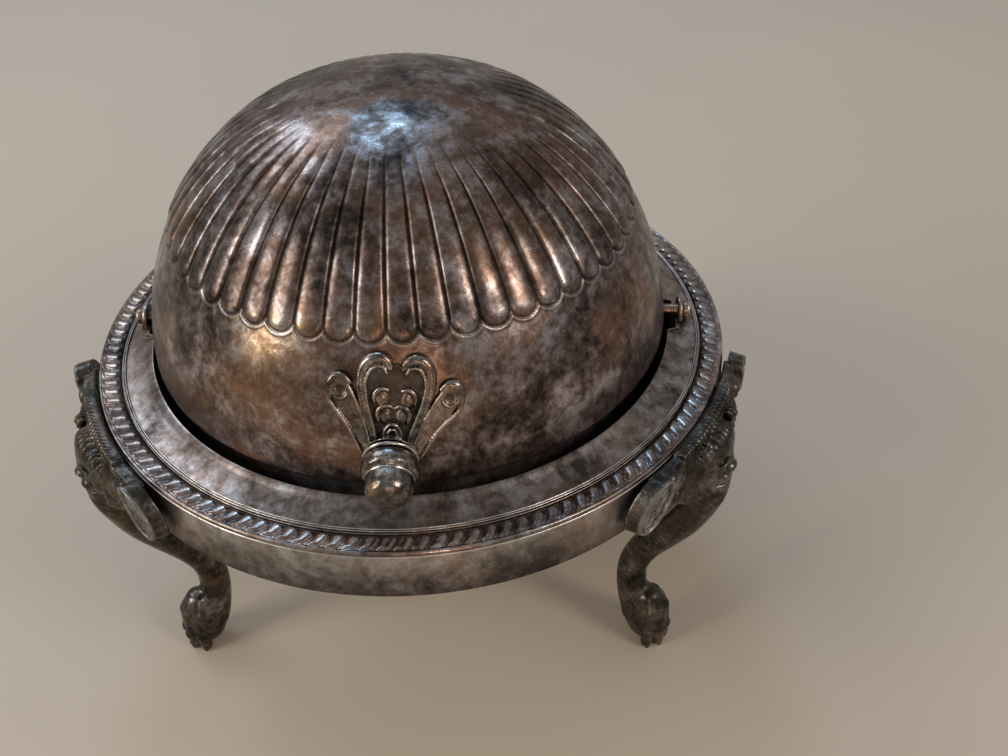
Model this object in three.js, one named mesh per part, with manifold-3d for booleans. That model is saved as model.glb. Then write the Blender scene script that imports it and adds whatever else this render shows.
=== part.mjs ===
// Roll top serving dish on three lion legs.
// A fluted half-round cover turns on two side screws, over and under a fixed bowl that holds a glass liner.
// Millimetres, Z up, front of the dish towards -Y. The origin is on the table, below the outline's middle.

import * as THREE from 'three';
import { mergeVertices } from 'three/addons/utils/BufferGeometryUtils.js';
import Module from 'manifold-3d';

const wasm = await Module();
wasm.setup();

// Driving dimensions
const rimRadius = 82.5;
const rimHeight = 89;
const pivotRise = 3.1;
const seatGap = 0.3;

// Rim: a flange that rises a little towards its opening, with a plain skirt
const sheet = 1.2;
const flangeWidth = 14.5;
const flangeRise = 1.6;
const openingGap = 1.3;
const skirtHeight = 13.1;
const skirtFlare = 0.7;
const borderWidth = 5.6;
const borderSink = 0.8;
const rimEdgeRound = 1.1;

// Gadroon border and the bead inside it
const lobeCount = 135;
const lobeHeight = 0.75;
const lobeDip = 0.8;
const lobeCrest = 0.52;
const lobeSlant = 1.1;
const beadWidth = 1.1;
const beadHeight = 0.7;

// Cover: a half ball with convex flutes
const coverWall = 1;
const coverLift = 2.9;
const earRadius = 5.6;
const fluteCount = 52;
const fluteRelief = 0.8;
const fluteFoot = 32.3;
const fluteTop = 69.5;
const fluteTurn = -2.2;
const fluteFootRound = 0.6;
const fluteFootRise = 3.4;
const fluteFade = 12.4;
const coverFoot = -9;
const bandTop = 29.7;
const crownTop = 88;

// Lower body: a half ball under the flange, with a lip soldered to it
const bodyGap = 3;
const bodyWall = 1;
const bodyLipReach = 3.4;

// Bowl and its glass liner
const bowlGap = 3.7;
const bowlWall = 1;
const bowlDepth = 47;
const bowlFloor = 24;
const bowlLip = 1.1;
const bowlLipReach = 0.9;
const bowlFullness = 0.62;
const linerGap = 4.2;
const linerWall = 2;
const linerDepth = 33;
const linerFloor = 22;

// Pivots
const screwRadius = 1.5;
const screwClearance = 0.3;
const screwHeadRadius = 2.2;
const screwHeadLength = 2.2;
const screwHeadRound = 0.6;
const lugThickness = 1.2;
const lugRadius = 3.6;
const notchDepth = 2.4;
const notchHalfWidth = 6.4;
const spacerRadius = 2.8;
const nutRadius = 2.8;
const nutThickness = 2.2;

// Handle on the cover
const handleTurn = 0.95;
const handleLatitude = 10.3;
const handleLean = 7;
const handleDroop = 12;
const handleStandOff = 2.2;
const plateThickness = 2.2;
const panelDepth = 1.1;
const collarRadius = 5.9;
const collarThickness = 1.2;
const knobRadius = 5.1;
const neckLength = 2.6;
const knobLength = 8.7;
const knobCapHeight = 4.4;
const knobCapEdge = 0.7;
const knobNeckRadius = 4.2;
const studRadius = 1.5;
const studHoleLength = 30;
const lobeRim = 1.1;
const lobeStemHalf = 1.6;
const lobeBend = 0.45;
const innerLobeOffset = 4.5;
const innerLobeReach = 18.2;
const innerLobeRadius = 3.6;
const innerLobeTurn = 4;
const innerStemOffset = 1.9;
const outerLobeOffset = 12.1;
const outerLobeReach = 12.8;
const outerLobeRadius = 2.6;
const outerLobeTurn = 38;
const outerStemOffset = 4.5;
const webNotch = 1.8;
const webDepth = 1.1;

// Legs: a curved bracket on the skirt with a roundel at each end, and a shank down to the paw
const frontLegAngle = 61;
const apronHalfAngle = 18.5;
const apronThickness = 3.4;
const apronHeight = 14;
const apronTop = -1.5;
const roundelHeight = 14.5;
const roundelWidth = 8.4;
const roundelThickness = 6;
const roundelTilt = 40;
const roundelDrop = 7;
const kneeRadius = 86.6;
const kneeDrop = 21;
const kneeThickness = 7.8;
const kneeWidth = 11;
const ankleRadius = 67.7;
const ankleHeight = 27;
const shankThickness = 7.2;
const shankBow = 0.08;
const heelLength = 9.4;
const heelWidth = 8.8;
const pawRadius = 73;
const pawLength = 13.4;
const pawWidth = 11;
const pawHeight = 23;
const pawMiddle = 9.2;
const toeCount = 4;
const toeSpread = 112;
const toeWidth = 4.4;
const toeHeight = 18;
const legScrewAngle = 8;
const legScrewDrop = 8;
const legScrewGrip = 3;
const legScrewHeadRadius = 2.7;
const legScrewHeadLength = 1.8;
const legScrewHeadRound = 0.9;

// Lion mask on each leg: heights are above or below the top of the rim
const maskMiddle = -6;
const maskHeight = 20;
const maskWidth = 16;
const maskStand = 5;
const muzzleMiddle = -8.6;
const muzzleWidth = 8.4;
const muzzleHeight = 6.6;
const muzzleStand = 7.2;
const noseMiddle = -4.6;
const noseWidth = 3.4;
const noseLength = 8.4;
const jawMiddle = -14;
const jawWidth = 6.4;
const jawHeight = 5.4;
const browMiddle = -1.2;
const browSpan = 6.6;
const browWidth = 4.8;
const browHeight = 3;
const cheekMiddle = -10;
const cheekSpan = 10.4;
const cheekWidth = 5.4;
const lockCount = 2;
const lockSpread = 126;
const lockSpan = 18.5;
const lockWidth = 6.4;
const lockHeight = 7;

// Facets round each kind of shape
const rimSegments = 40;
const bodySegments = 28;
const bodySteps = 5;
const bowlSegments = 32;
const coverHollowSegments = 32;
const handleSeatSegments = 56;
const columnsPerFlute = 3;
const barrelSides = 16;
const knobSides = 10;
const roundelSides = 10;
const boltSides = 8;
const hexSides = 6;
const shankSides = 8;
const arcSteps = 3;
const bowlSteps = 3;
const bandRows = 5;
const crownRows = 2;
const shankRows = 5;
const mergeDistance = 1e-4;
const maskSides = 8;
const pawSides = 8;
const pawRings = 5;
const toeSides = 5;

// Worked-out places, in the dish's own frame: axis at x = y = 0, top of the rim at z = 0
const degree = Math.PI / 180;
const openingRadius = rimRadius - flangeWidth;
const coverRadius = openingRadius - openingGap;
const notchRadius = openingRadius + notchDepth;
const borderInner = rimRadius - borderWidth;
const beadRadius = borderInner - beadWidth;
const skirtRadius = rimRadius + skirtFlare;
const bodyInner = openingRadius + bodyGap;
const bodyOuter = bodyInner + bodyWall;
const bodyLipEdge = bodyInner + bodyLipReach;
const bowlRadius = coverRadius - coverWall - bowlGap;
const bowlInner = bowlRadius - bowlWall;
const bowlTop = pivotRise + spacerRadius + seatGap + bowlLip;
const linerRadius = bowlInner - linerGap;
const lugInner = notchRadius + seatGap;
const lugOuter = lugInner + lugThickness;
const flangeSlope = flangeRise / (beadRadius - openingRadius);
const lugFoot = flangeSlope * (beadRadius - lugInner) + seatGap;
const apronInner = skirtRadius + seatGap;
const apronOuter = apronInner + apronThickness;
const legAngles = { left: -frontLegAngle, right: frontLegAngle, back: 180 };
const sideBySide = [['left', -1], ['right', 1]];

// Finishes
function metal(name, colour, roughness) {
  const material = new THREE.MeshStandardMaterial({ color: colour, roughness, metalness: 1 });
  material.name = name;
  return material;
}

function finishes() {
  const glass = new THREE.MeshStandardMaterial({ color: 0xdfe8e6, roughness: 0.05, metalness: 0 });
  glass.name = 'clear_glass';
  return {
    cover: metal('tarnished_cover', 0x4b403d, 0.32),
    rim: metal('tarnished_rim', 0x6f6461, 0.36),
    border: metal('rubbed_border', 0x7a6f6b, 0.34),
    cast: metal('dark_cast', 0x4a4746, 0.4),
    bright: metal('rubbed_silver', 0x8d857e, 0.28),
    brass: metal('worn_brass', 0x8f7358, 0.38),
    inner: metal('inner_silver', 0xa7a39d, 0.25),
    glass,
  };
}

// Closed bodies
function signedVolume(geometry) {
  const place = geometry.attributes.position;
  const index = geometry.index.array;
  const [a, b, c] = [new THREE.Vector3(), new THREE.Vector3(), new THREE.Vector3()];
  let sum = 0;
  for (let i = 0; i < index.length; i += 3) {
    a.fromBufferAttribute(place, index[i]);
    b.fromBufferAttribute(place, index[i + 1]);
    c.fromBufferAttribute(place, index[i + 2]);
    sum += a.dot(b.cross(c)) / 6;
  }
  return sum;
}

// Shared corners are merged, slivers without area are dropped, and the faces are turned outwards.
function closedBody(geometry) {
  const bare = geometry.clone();
  bare.deleteAttribute('normal');
  bare.deleteAttribute('uv');
  const merged = mergeVertices(bare, mergeDistance);
  const index = merged.index.array;
  const kept = [];
  for (let i = 0; i < index.length; i += 3) {
    const [a, b, c] = [index[i], index[i + 1], index[i + 2]];
    if (a !== b && b !== c && c !== a) kept.push(a, b, c);
  }
  merged.setIndex(kept);
  if (signedVolume(merged) < 0) merged.setIndex(kept.reverse());
  return merged;
}

function solidOf(geometry) {
  const body = closedBody(geometry);
  return new wasm.Manifold(new wasm.Mesh({
    numProp: 3,
    vertProperties: new Float32Array(body.attributes.position.array),
    triVerts: new Uint32Array(body.index.array),
  }));
}

function geometryOf(solid) {
  const mesh = solid.getMesh();
  const geometry = new THREE.BufferGeometry();
  const width = mesh.numProp;
  const places = [];
  for (let i = 0; i < mesh.vertProperties.length; i += width) {
    places.push(mesh.vertProperties[i], mesh.vertProperties[i + 1], mesh.vertProperties[i + 2]);
  }
  geometry.setAttribute('position', new THREE.Float32BufferAttribute(places, 3));
  geometry.setIndex(Array.from(mesh.triVerts));
  return geometry;
}

function joined(geometries) {
  return geometries.map(solidOf).reduce((whole, next) => whole.add(next));
}

// A profile of [radius, height] pairs turned about Z
function turned(profile, segments) {
  const points = profile.map(([radius, height]) => new THREE.Vector2(radius, height));
  return new THREE.LatheGeometry(points, segments).rotateX(Math.PI / 2);
}

function closedProfile(points) {
  return [...points, points[0]];
}

// A round bar along X from one distance to another
function barAlongX(from, to, radius, sides) {
  const bar = new THREE.CylinderGeometry(radius, radius, Math.abs(to - from), sides).rotateZ(Math.PI / 2);
  return bar.translate((from + to) / 2, 0, 0);
}

function block(low, high) {
  const size = high.map((value, i) => value - low[i]);
  const middle = high.map((value, i) => (value + low[i]) / 2);
  return new THREE.BoxGeometry(...size).translate(...middle);
}

function ellipsoid(centre, size, across = 6, up = 4) {
  return new THREE.SphereGeometry(0.5, across, up).scale(...size).translate(...centre);
}

// A ball about the cover's centre, with its poles on Z
function ball(radius, segments) {
  return new THREE.SphereGeometry(radius, segments, segments / 2).rotateX(Math.PI / 2);
}

function smoothStep(value) {
  const t = Math.min(Math.max(value, 0), 1);
  return t * t * (3 - 2 * t);
}

// Rings of points, each with its own count, joined by bands of triangles and closed at both ends
function stackedRings(rings) {
  const places = [];
  const faces = [];
  const starts = rings.map((ring) => {
    const start = places.length / 3;
    ring.forEach((point) => places.push(point.x, point.y, point.z));
    return start;
  });
  for (let k = 0; k + 1 < rings.length; k += 1) {
    const [lower, upper] = [rings[k].length, rings[k + 1].length];
    let i = 0;
    let j = 0;
    while (i < lower || j < upper) {
      const here = starts[k] + (i % lower);
      const above = starts[k + 1] + (j % upper);
      if (j >= upper || (i < lower && (i + 1) / lower <= (j + 1) / upper)) {
        i += 1;
        faces.push(here, starts[k] + (i % lower), above);
      } else {
        j += 1;
        faces.push(here, starts[k + 1] + (j % upper), above);
      }
    }
  }
  [0, rings.length - 1].forEach((k) => {
    const ring = rings[k];
    const centre = ring.reduce((sum, point) => sum.add(point), new THREE.Vector3()).divideScalar(ring.length);
    const hub = places.length / 3;
    places.push(centre.x, centre.y, centre.z);
    ring.forEach((point, i) => {
      const [here, next] = [starts[k] + i, starts[k] + ((i + 1) % ring.length)];
      faces.push(...(k === 0 ? [hub, next, here] : [hub, here, next]));
    });
  });
  const geometry = new THREE.BufferGeometry();
  geometry.setAttribute('position', new THREE.Float32BufferAttribute(places, 3));
  geometry.setIndex(faces);
  return geometry;
}

// Rim flange with its skirt, and the notches beside the pivots
function rimFlange() {
  const seat = -borderSink;
  const profile = closedProfile([
    [openingRadius, flangeRise - sheet],
    [openingRadius, flangeRise],
    [beadRadius, 0],
    [borderInner - seatGap, 0],
    [borderInner - seatGap, seat],
    [rimRadius - rimEdgeRound, seat],
    [rimRadius, seat - rimEdgeRound],
    [skirtRadius, -skirtHeight],
    [skirtRadius - sheet, -skirtHeight],
    [rimRadius - sheet, seat - sheet],
    [borderInner - sheet, seat - sheet],
    [beadRadius - sheet, -sheet],
  ]);
  let rim = solidOf(turned(profile, rimSegments));
  sideBySide.forEach(([, side]) => {
    const top = flangeRise + sheet;
    const notch = block([0, -notchHalfWidth, -sheet * 2], [notchRadius, notchHalfWidth, top]);
    rim = rim.subtract(solidOf(notch.rotateZ(side < 0 ? Math.PI : 0)));
  });
  return cutForLegScrews(rim);
}

function cutForLegScrews(rim) {
  let cut = rim;
  Object.values(legAngles).forEach((angle) => {
    [-legScrewAngle, legScrewAngle].forEach((offset) => {
      const hole = barAlongX(apronInner, apronInner - sheet * 4, screwRadius + screwClearance, boltSides);
      hole.translate(0, 0, -legScrewDrop).rotateZ((angle + offset - 90) * degree);
      cut = cut.subtract(solidOf(hole));
    });
  });
  return cut;
}

// Gadroon border: slanting lobes between a low inner edge and the rim's corner
function gadroonBorder() {
  const columns = lobeCount * 2;
  const base = seatGap - borderSink;
  const [inner, outer] = [borderInner, rimRadius - seatGap / 2];
  const section = [
    { radius: inner, height: base, rise: 0 },
    { radius: inner + (outer - inner) * lobeCrest, height: base + lobeHeight, rise: lobeDip },
    { radius: outer, height: base, rise: 0 },
  ];
  const places = [];
  const faces = [];
  for (let i = 0; i < columns; i += 1) {
    const crest = i % 2 === 0 ? 1 : 0;
    section.forEach(({ radius, height, rise }) => {
      const slant = (lobeSlant * (radius - inner)) / borderWidth / radius;
      const angle = (i / columns) * Math.PI * 2 + slant;
      places.push(radius * Math.cos(angle), radius * Math.sin(angle), height + rise * crest);
    });
  }
  const count = section.length;
  for (let i = 0; i < columns; i += 1) {
    const next = (i + 1) % columns;
    for (let j = 0; j < count; j += 1) {
      const up = (j + 1) % count;
      const [a, b, c, d] = [i * count + j, next * count + j, next * count + up, i * count + up];
      faces.push(a, b, c, a, c, d);
    }
  }
  const ring = new THREE.BufferGeometry();
  ring.setAttribute('position', new THREE.Float32BufferAttribute(places, 3));
  ring.setIndex(faces);
  return ring;
}

function beadMoulding() {
  const width = beadWidth - seatGap;
  return turned(closedProfile([
    [beadRadius, seatGap],
    [beadRadius + width / 2, seatGap + beadHeight],
    [beadRadius + width, seatGap],
  ]), rimSegments);
}

// Cover: convex flutes with rounded feet, a plain band below and a plain crown above
function fluteHeight(azimuth, latitude) {
  const pitch = 360 / fluteCount;
  const turns = (azimuth - fluteTurn) / pitch + 0.5;
  const across = (turns - Math.floor(turns)) * 2 - 1;
  const round = Math.sqrt(Math.max(1 - across * across, 0));
  const halfWidth = (pitch / 2) * Math.cos(fluteFoot * degree);
  const foot = smoothStep((latitude - fluteFoot + halfWidth * (round - fluteFootRound)) / halfWidth);
  const crown = smoothStep((fluteTop - latitude) / fluteFade);
  return fluteRelief * round * foot * crown;
}

function coverRing(latitude, count) {
  const ring = [];
  for (let i = 0; i < count; i += 1) {
    const azimuth = (i / count) * 360 + fluteTurn - 180 / fluteCount;
    const radius = coverRadius + fluteHeight(azimuth, latitude);
    const around = azimuth * degree;
    const [flat, up] = [radius * Math.cos(latitude * degree), radius * Math.sin(latitude * degree)];
    ring.push(new THREE.Vector3(flat * Math.sin(around), -flat * Math.cos(around), up));
  }
  return ring;
}

function evenly(from, to, count) {
  return Array.from({ length: count }, (_, i) => from + ((to - from) * i) / (count - 1));
}

function coverBall() {
  const plain = (latitude) => coverRing(latitude, fluteCount);
  const fluted = (latitude) => coverRing(latitude, fluteCount * columnsPerFlute);
  const fadeFoot = fluteTop - fluteFade;
  const rounded = fluteFoot + fluteFootRise;
  return stackedRings([
    ...evenly(coverFoot, bandTop, bandRows).map(plain),
    ...[fluteFoot, rounded, (rounded + fadeFoot) / 2, fadeFoot].map(fluted),
    ...evenly(fluteTop, crownTop, crownRows + 2).slice(0, -1).map(plain),
    coverRing(crownTop, fluteCount / 2),
  ]);
}

function cover() {
  const hollow = ball(coverRadius - coverWall, coverHollowSegments);
  const below = block([-rimRadius, -rimRadius, -rimRadius], [rimRadius, rimRadius, coverLift]);
  const ears = barAlongX(-rimRadius, rimRadius, earRadius, barrelSides);
  const holes = barAlongX(-rimRadius, rimRadius, screwRadius + screwClearance, boltSides);
  return solidOf(coverBall())
    .subtract(solidOf(hollow))
    .subtract(solidOf(below).subtract(solidOf(ears)))
    .subtract(solidOf(holes))
    .subtract(solidOf(studHole()));
}

// Lower body: the cover rolls down into it, between its wall and the bowl
function ballCurve(radius, top, steps) {
  const last = Math.asin((top - pivotRise) / radius);
  return evenly(-Math.PI / 2, last, steps + 1).map((angle) => [
    radius * Math.cos(angle),
    radius * Math.sin(angle) + pivotRise,
  ]);
}

// The lip lies under the flange and follows its slope.
function lowerBody() {
  const slopeFoot = beadRadius - sheet;
  const slope = flangeRise / (slopeFoot - openingRadius);
  const lipTop = (radius) => slope * (slopeFoot - radius) - sheet - seatGap;
  return turned([
    ...ballCurve(bodyOuter, lipTop(bodyOuter) - bodyWall, bodySteps),
    [bodyLipEdge, lipTop(bodyLipEdge) - bodyWall],
    [bodyLipEdge, lipTop(bodyLipEdge)],
    ...ballCurve(bodyInner, lipTop(bodyInner), bodySteps).reverse(),
  ], bodySegments);
}

// Bowl and liner: curved walls down to a flat floor
function bowlCurve(radius, top, floorRadius, depth, steps) {
  const wall = new THREE.CubicBezierCurve(
    new THREE.Vector2(radius, top),
    new THREE.Vector2(radius, top - (top + depth) * bowlFullness),
    new THREE.Vector2(floorRadius + (radius - floorRadius) * bowlFullness, -depth),
    new THREE.Vector2(floorRadius, -depth),
  );
  return wall.getPoints(steps).map((point) => [point.x, point.y]);
}

function bowl() {
  const shoulder = pivotRise - spacerRadius - bowlWall;
  const outside = bowlCurve(bowlRadius, shoulder, bowlFloor, bowlDepth, bowlSteps).reverse();
  const inside = bowlCurve(bowlInner, shoulder, bowlFloor, bowlDepth - bowlWall, bowlSteps);
  const profile = [
    [0, -bowlDepth],
    ...outside,
    [bowlRadius, bowlTop - bowlLip],
    [bowlRadius + bowlLipReach, bowlTop - bowlLip],
    [bowlRadius + bowlLipReach / 2, bowlTop],
    [bowlInner, bowlTop],
    ...inside,
    [0, -bowlDepth + bowlWall],
  ];
  const body = solidOf(turned(profile, bowlSegments));
  const hole = barAlongX(-rimRadius, rimRadius, screwRadius + screwClearance, boltSides);
  return body.subtract(solidOf(hole.translate(0, 0, pivotRise)));
}

function glassLiner() {
  const [low, high] = [bowlTop + seatGap, bowlTop + seatGap + linerWall];
  const outside = bowlCurve(linerRadius, low, linerFloor, linerDepth, bowlSteps).reverse();
  const inside = bowlCurve(linerRadius - linerWall, high, linerFloor, linerDepth - linerWall, bowlSteps);
  const profile = [
    [0, -linerDepth],
    ...outside,
    [bowlRadius, low],
    [bowlRadius, high],
    ...inside,
    [0, -linerDepth + linerWall],
  ];
  return turned(profile, bowlSegments);
}

// Pivots. Each is made for the right-hand side, along +X, and turned about for the left.
function pivotLug() {
  const foot = block([lugInner, -lugRadius, lugFoot], [lugOuter, lugRadius, pivotRise]);
  const head = barAlongX(lugInner, lugOuter, lugRadius, barrelSides).translate(0, 0, pivotRise);
  const floor = block([0, -lugRadius * 2, -lugRadius * 2], [rimRadius, lugRadius * 2, lugFoot]);
  const bore = barAlongX(lugInner - sheet, lugOuter + sheet, screwRadius + screwClearance, boltSides);
  return joined([foot, head])
    .subtract(solidOf(floor))
    .subtract(solidOf(bore.translate(0, 0, pivotRise)));
}

function pivotScrew() {
  const headInner = lugOuter + seatGap;
  const end = bowlInner - seatGap - nutThickness;
  const profile = [
    [0, end],
    [screwRadius, end],
    [screwRadius, headInner],
    [screwHeadRadius, headInner],
    [screwHeadRadius, headInner + screwHeadLength - screwHeadRound],
    [screwHeadRadius - screwHeadRound, headInner + screwHeadLength],
    [0, headInner + screwHeadLength],
  ];
  return turned(profile, boltSides).rotateY(Math.PI / 2);
}

function tubeAlongX(from, to, bore, radius, sides) {
  const wall = closedProfile([[bore, from], [radius, from], [radius, to], [bore, to]]);
  return turned(wall, sides).rotateY(Math.PI / 2);
}

function pivotSpacer() {
  const bore = screwRadius + screwClearance;
  const outerFace = Math.sqrt((coverRadius - coverWall) ** 2 - spacerRadius ** 2) - seatGap;
  return tubeAlongX(bowlRadius + seatGap, outerFace, bore, spacerRadius, boltSides);
}

function pivotNut() {
  const bore = screwRadius + screwClearance;
  return tubeAlongX(bowlInner - seatGap - nutThickness, bowlInner - seatGap, bore, nutRadius, hexSides);
}

// Handle: u runs to the right and v upwards over the cover, h stands out from it
function onCover(u, v, h) {
  const lean = handleLean * degree;
  const right = u * Math.cos(lean) + v * Math.sin(lean);
  const up = v * Math.cos(lean) - u * Math.sin(lean);
  const latitude = handleLatitude * degree + up / coverRadius;
  const around = handleTurn * degree + right / (coverRadius * Math.cos(latitude));
  const radius = coverRadius + h;
  return new THREE.Vector3(
    radius * Math.cos(latitude) * Math.sin(around),
    -radius * Math.cos(latitude) * Math.cos(around),
    radius * Math.sin(latitude),
  );
}

// One lobe of the palmette: a stem that widens into a round head
function lobeShape(lobe, inset) {
  const { headX, headY, headRadius, headTurn, stemX } = lobe;
  const radius = headRadius - inset;
  const [across, along] = [radius * Math.cos(headTurn * degree), radius * Math.sin(headTurn * degree)];
  const half = Math.max(lobeStemHalf - inset, lobeStemHalf / 3);
  const [bendX, bendY] = [(stemX + headX) / 2, headY * lobeBend];
  const shape = new THREE.Shape();
  shape.moveTo(stemX + half, inset);
  shape.quadraticCurveTo(bendX + half, bendY, headX + across, headY - along);
  shape.absarc(headX, headY, radius, -headTurn * degree, Math.PI - headTurn * degree, false);
  shape.quadraticCurveTo(bendX - half, bendY, stemX - half, inset);
  shape.closePath();
  return shape;
}

function wrapped(geometry) {
  const place = geometry.attributes.position;
  for (let i = 0; i < place.count; i += 1) {
    const point = onCover(place.getX(i), place.getY(i), place.getZ(i));
    place.setXYZ(i, point.x, point.y, point.z);
  }
  return geometry;
}

function palmetteLobe(lobe) {
  const extrude = (inset, from, to) => new THREE.ExtrudeGeometry(
    lobeShape(lobe, inset),
    { depth: to - from, bevelEnabled: false, curveSegments: arcSteps },
  ).translate(0, 0, from);
  const top = seatGap + plateThickness;
  const plate = solidOf(wrapped(extrude(0, 0, top)));
  const panel = wrapped(extrude(lobeRim, top - panelDepth, top + panelDepth));
  return plate.subtract(solidOf(panel));
}

// The knob's line leaves the cover at the handle's latitude and droops below the level.
function alongHandle(geometry) {
  const start = handleLatitude * degree;
  const reach = coverRadius + handleStandOff;
  return geometry
    .rotateX(Math.PI / 2 + handleDroop * degree)
    .translate(0, -reach * Math.cos(start), reach * Math.sin(start))
    .rotateZ(handleTurn * degree);
}

function studHole() {
  const bore = studRadius + screwClearance;
  return alongHandle(new THREE.CylinderGeometry(bore, bore, studHoleLength, boltSides).rotateX(Math.PI / 2));
}

// The sunk plate that joins the two inner lobes, notched between their heads
function palmetteWeb() {
  const top = innerLobeReach + innerLobeRadius;
  const shape = new THREE.Shape();
  shape.moveTo(-innerStemOffset - lobeStemHalf, 0);
  shape.lineTo(innerStemOffset + lobeStemHalf, 0);
  shape.quadraticCurveTo(innerLobeOffset, innerLobeReach / 2, innerLobeOffset, innerLobeReach);
  shape.lineTo(innerLobeOffset - innerLobeRadius / 2, top - webNotch / 2);
  shape.lineTo(0, top - webNotch);
  shape.lineTo(-innerLobeOffset + innerLobeRadius / 2, top - webNotch / 2);
  shape.lineTo(-innerLobeOffset, innerLobeReach);
  shape.quadraticCurveTo(-innerLobeOffset, innerLobeReach / 2, -innerStemOffset - lobeStemHalf, 0);
  const depth = seatGap + plateThickness - webDepth;
  const plate = new THREE.ExtrudeGeometry(shape, { depth, bevelEnabled: false, curveSegments: arcSteps });
  return solidOf(wrapped(plate));
}

function handlePalmette() {
  const lobe = (side, headX, headY, headRadius, headTurn, stemX) => palmetteLobe({
    headX: side * headX, headY, headRadius, headTurn: side * headTurn, stemX: side * stemX,
  });
  const bossLength = handleStandOff + plateThickness;
  const boss = new THREE.CylinderGeometry(collarRadius - seatGap, collarRadius, bossLength, barrelSides);
  const placed = alongHandle(boss.rotateX(Math.PI / 2).translate(0, 0, -bossLength / 2));
  let palmette = solidOf(placed).add(palmetteWeb());
  [-1, 1].forEach((side) => {
    palmette = palmette
      .add(lobe(side, innerLobeOffset, innerLobeReach, innerLobeRadius, innerLobeTurn, innerStemOffset))
      .add(lobe(side, outerLobeOffset, outerLobeReach, outerLobeRadius, outerLobeTurn, outerStemOffset));
  });
  return palmette
    .subtract(solidOf(ball(coverRadius + seatGap, handleSeatSegments)))
    .subtract(solidOf(studHole()));
}

function handleCollar() {
  const bore = studRadius + screwClearance;
  const [low, high] = [seatGap, seatGap + collarThickness];
  const edge = collarRadius - collarThickness / 3;
  return alongHandle(turned(closedProfile([
    [bore, low],
    [edge, low],
    [collarRadius, (low + high) / 2],
    [edge, high],
    [bore, high],
  ]), barrelSides));
}

// How far behind the handle's start the nut's near face lies, with its upper corner clear of the cover
function handleNutFace() {
  const tilt = (handleLatitude + handleDroop) * degree;
  const reach = coverRadius + handleStandOff;
  const inside = coverRadius - coverWall - seatGap * 2;
  return Math.sqrt(inside ** 2 - (reach * Math.sin(tilt) + nutRadius) ** 2) - reach * Math.cos(tilt);
}

function handleKnob() {
  const base = collarThickness + seatGap * 2;
  const capBase = base + neckLength;
  const domeBase = base + knobLength - knobCapHeight + knobCapEdge;
  const studEnd = handleNutFace() - nutThickness - seatGap * 2;
  const dome = new THREE.EllipseCurve(0, domeBase, knobRadius, knobCapHeight - knobCapEdge, 0, Math.PI / 2);
  const profile = [
    [0, studEnd],
    [studRadius, studEnd],
    [studRadius, base],
    [knobRadius, base],
    [knobNeckRadius, capBase - knobCapEdge],
    [knobNeckRadius, capBase],
    [knobRadius, domeBase - knobCapEdge],
    ...dome.getPoints(arcSteps + 1).map((point) => [Math.max(point.x, 0), point.y]),
  ];
  return alongHandle(turned(profile, knobSides));
}

function handleNut() {
  const nearFace = handleNutFace();
  const bore = studRadius + screwClearance;
  return alongHandle(turned(closedProfile([
    [bore, nearFace - nutThickness],
    [nutRadius, nearFace - nutThickness],
    [nutRadius, nearFace],
    [bore, nearFace],
  ]), hexSides));
}

// Legs. Each is made with its outward side along +X, in the dish's frame, and turned to its place.
function apron() {
  const half = apronHalfAngle * degree;
  const shape = new THREE.Shape();
  shape.absarc(0, 0, apronOuter, -half, half, false);
  shape.absarc(0, 0, apronInner, half, -half, true);
  shape.closePath();
  const options = { depth: apronHeight, bevelEnabled: false, curveSegments: arcSteps };
  const band = new THREE.ExtrudeGeometry(shape, options);
  return band.translate(0, 0, apronTop - apronHeight);
}

// An upright oval disc at each end of the apron, its top leaning towards the mask
function roundel(side) {
  return new THREE.CylinderGeometry(0.5, 0.5, roundelThickness, roundelSides)
    .rotateZ(Math.PI / 2)
    .scale(1, roundelWidth, roundelHeight)
    .rotateX(side * roundelTilt * degree)
    .translate(apronInner + roundelThickness / 2, 0, -roundelDrop)
    .rotateZ(side * apronHalfAngle * degree);
}

// Each feature is half an egg that stands out from the apron's face, with a shallow back sunk into the apron.
function feature(stand, across, middle, width, height, sides = 6) {
  const shape = ellipsoid([0, 0, 0], [stand * 2, width, height], sides);
  const place = shape.attributes.position;
  const back = apronThickness / 2 / stand;
  for (let i = 0; i < place.count; i += 1) {
    if (place.getX(i) < 0) place.setX(i, place.getX(i) * back);
  }
  return shape.translate(apronOuter, across, middle);
}

function lionMask() {
  const pieces = [
    feature(maskStand, 0, maskMiddle, maskWidth, maskHeight, maskSides),
    feature(muzzleStand, 0, muzzleMiddle, muzzleWidth, muzzleHeight, maskSides),
    feature(muzzleStand, 0, noseMiddle, noseWidth, noseLength),
    feature(maskStand, 0, jawMiddle, jawWidth, jawHeight),
  ];
  [-1, 1].forEach((side) => {
    pieces.push(feature(maskStand + browHeight / 2, side * browSpan / 2, browMiddle, browWidth, browHeight));
    pieces.push(feature(maskStand, side * cheekSpan / 2, cheekMiddle, cheekWidth, cheekWidth));
    for (let lock = 0; lock < lockCount; lock += 1) {
      const angle = (lock / (lockCount - 1) - 0.5) * lockSpread * degree;
      const [across, up] = [Math.cos(angle) * lockSpan / 2, Math.sin(angle) * maskHeight / 2];
      pieces.push(feature(maskStand / 2, side * across, maskMiddle + up, lockWidth, lockHeight));
    }
  });
  return pieces;
}

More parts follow.
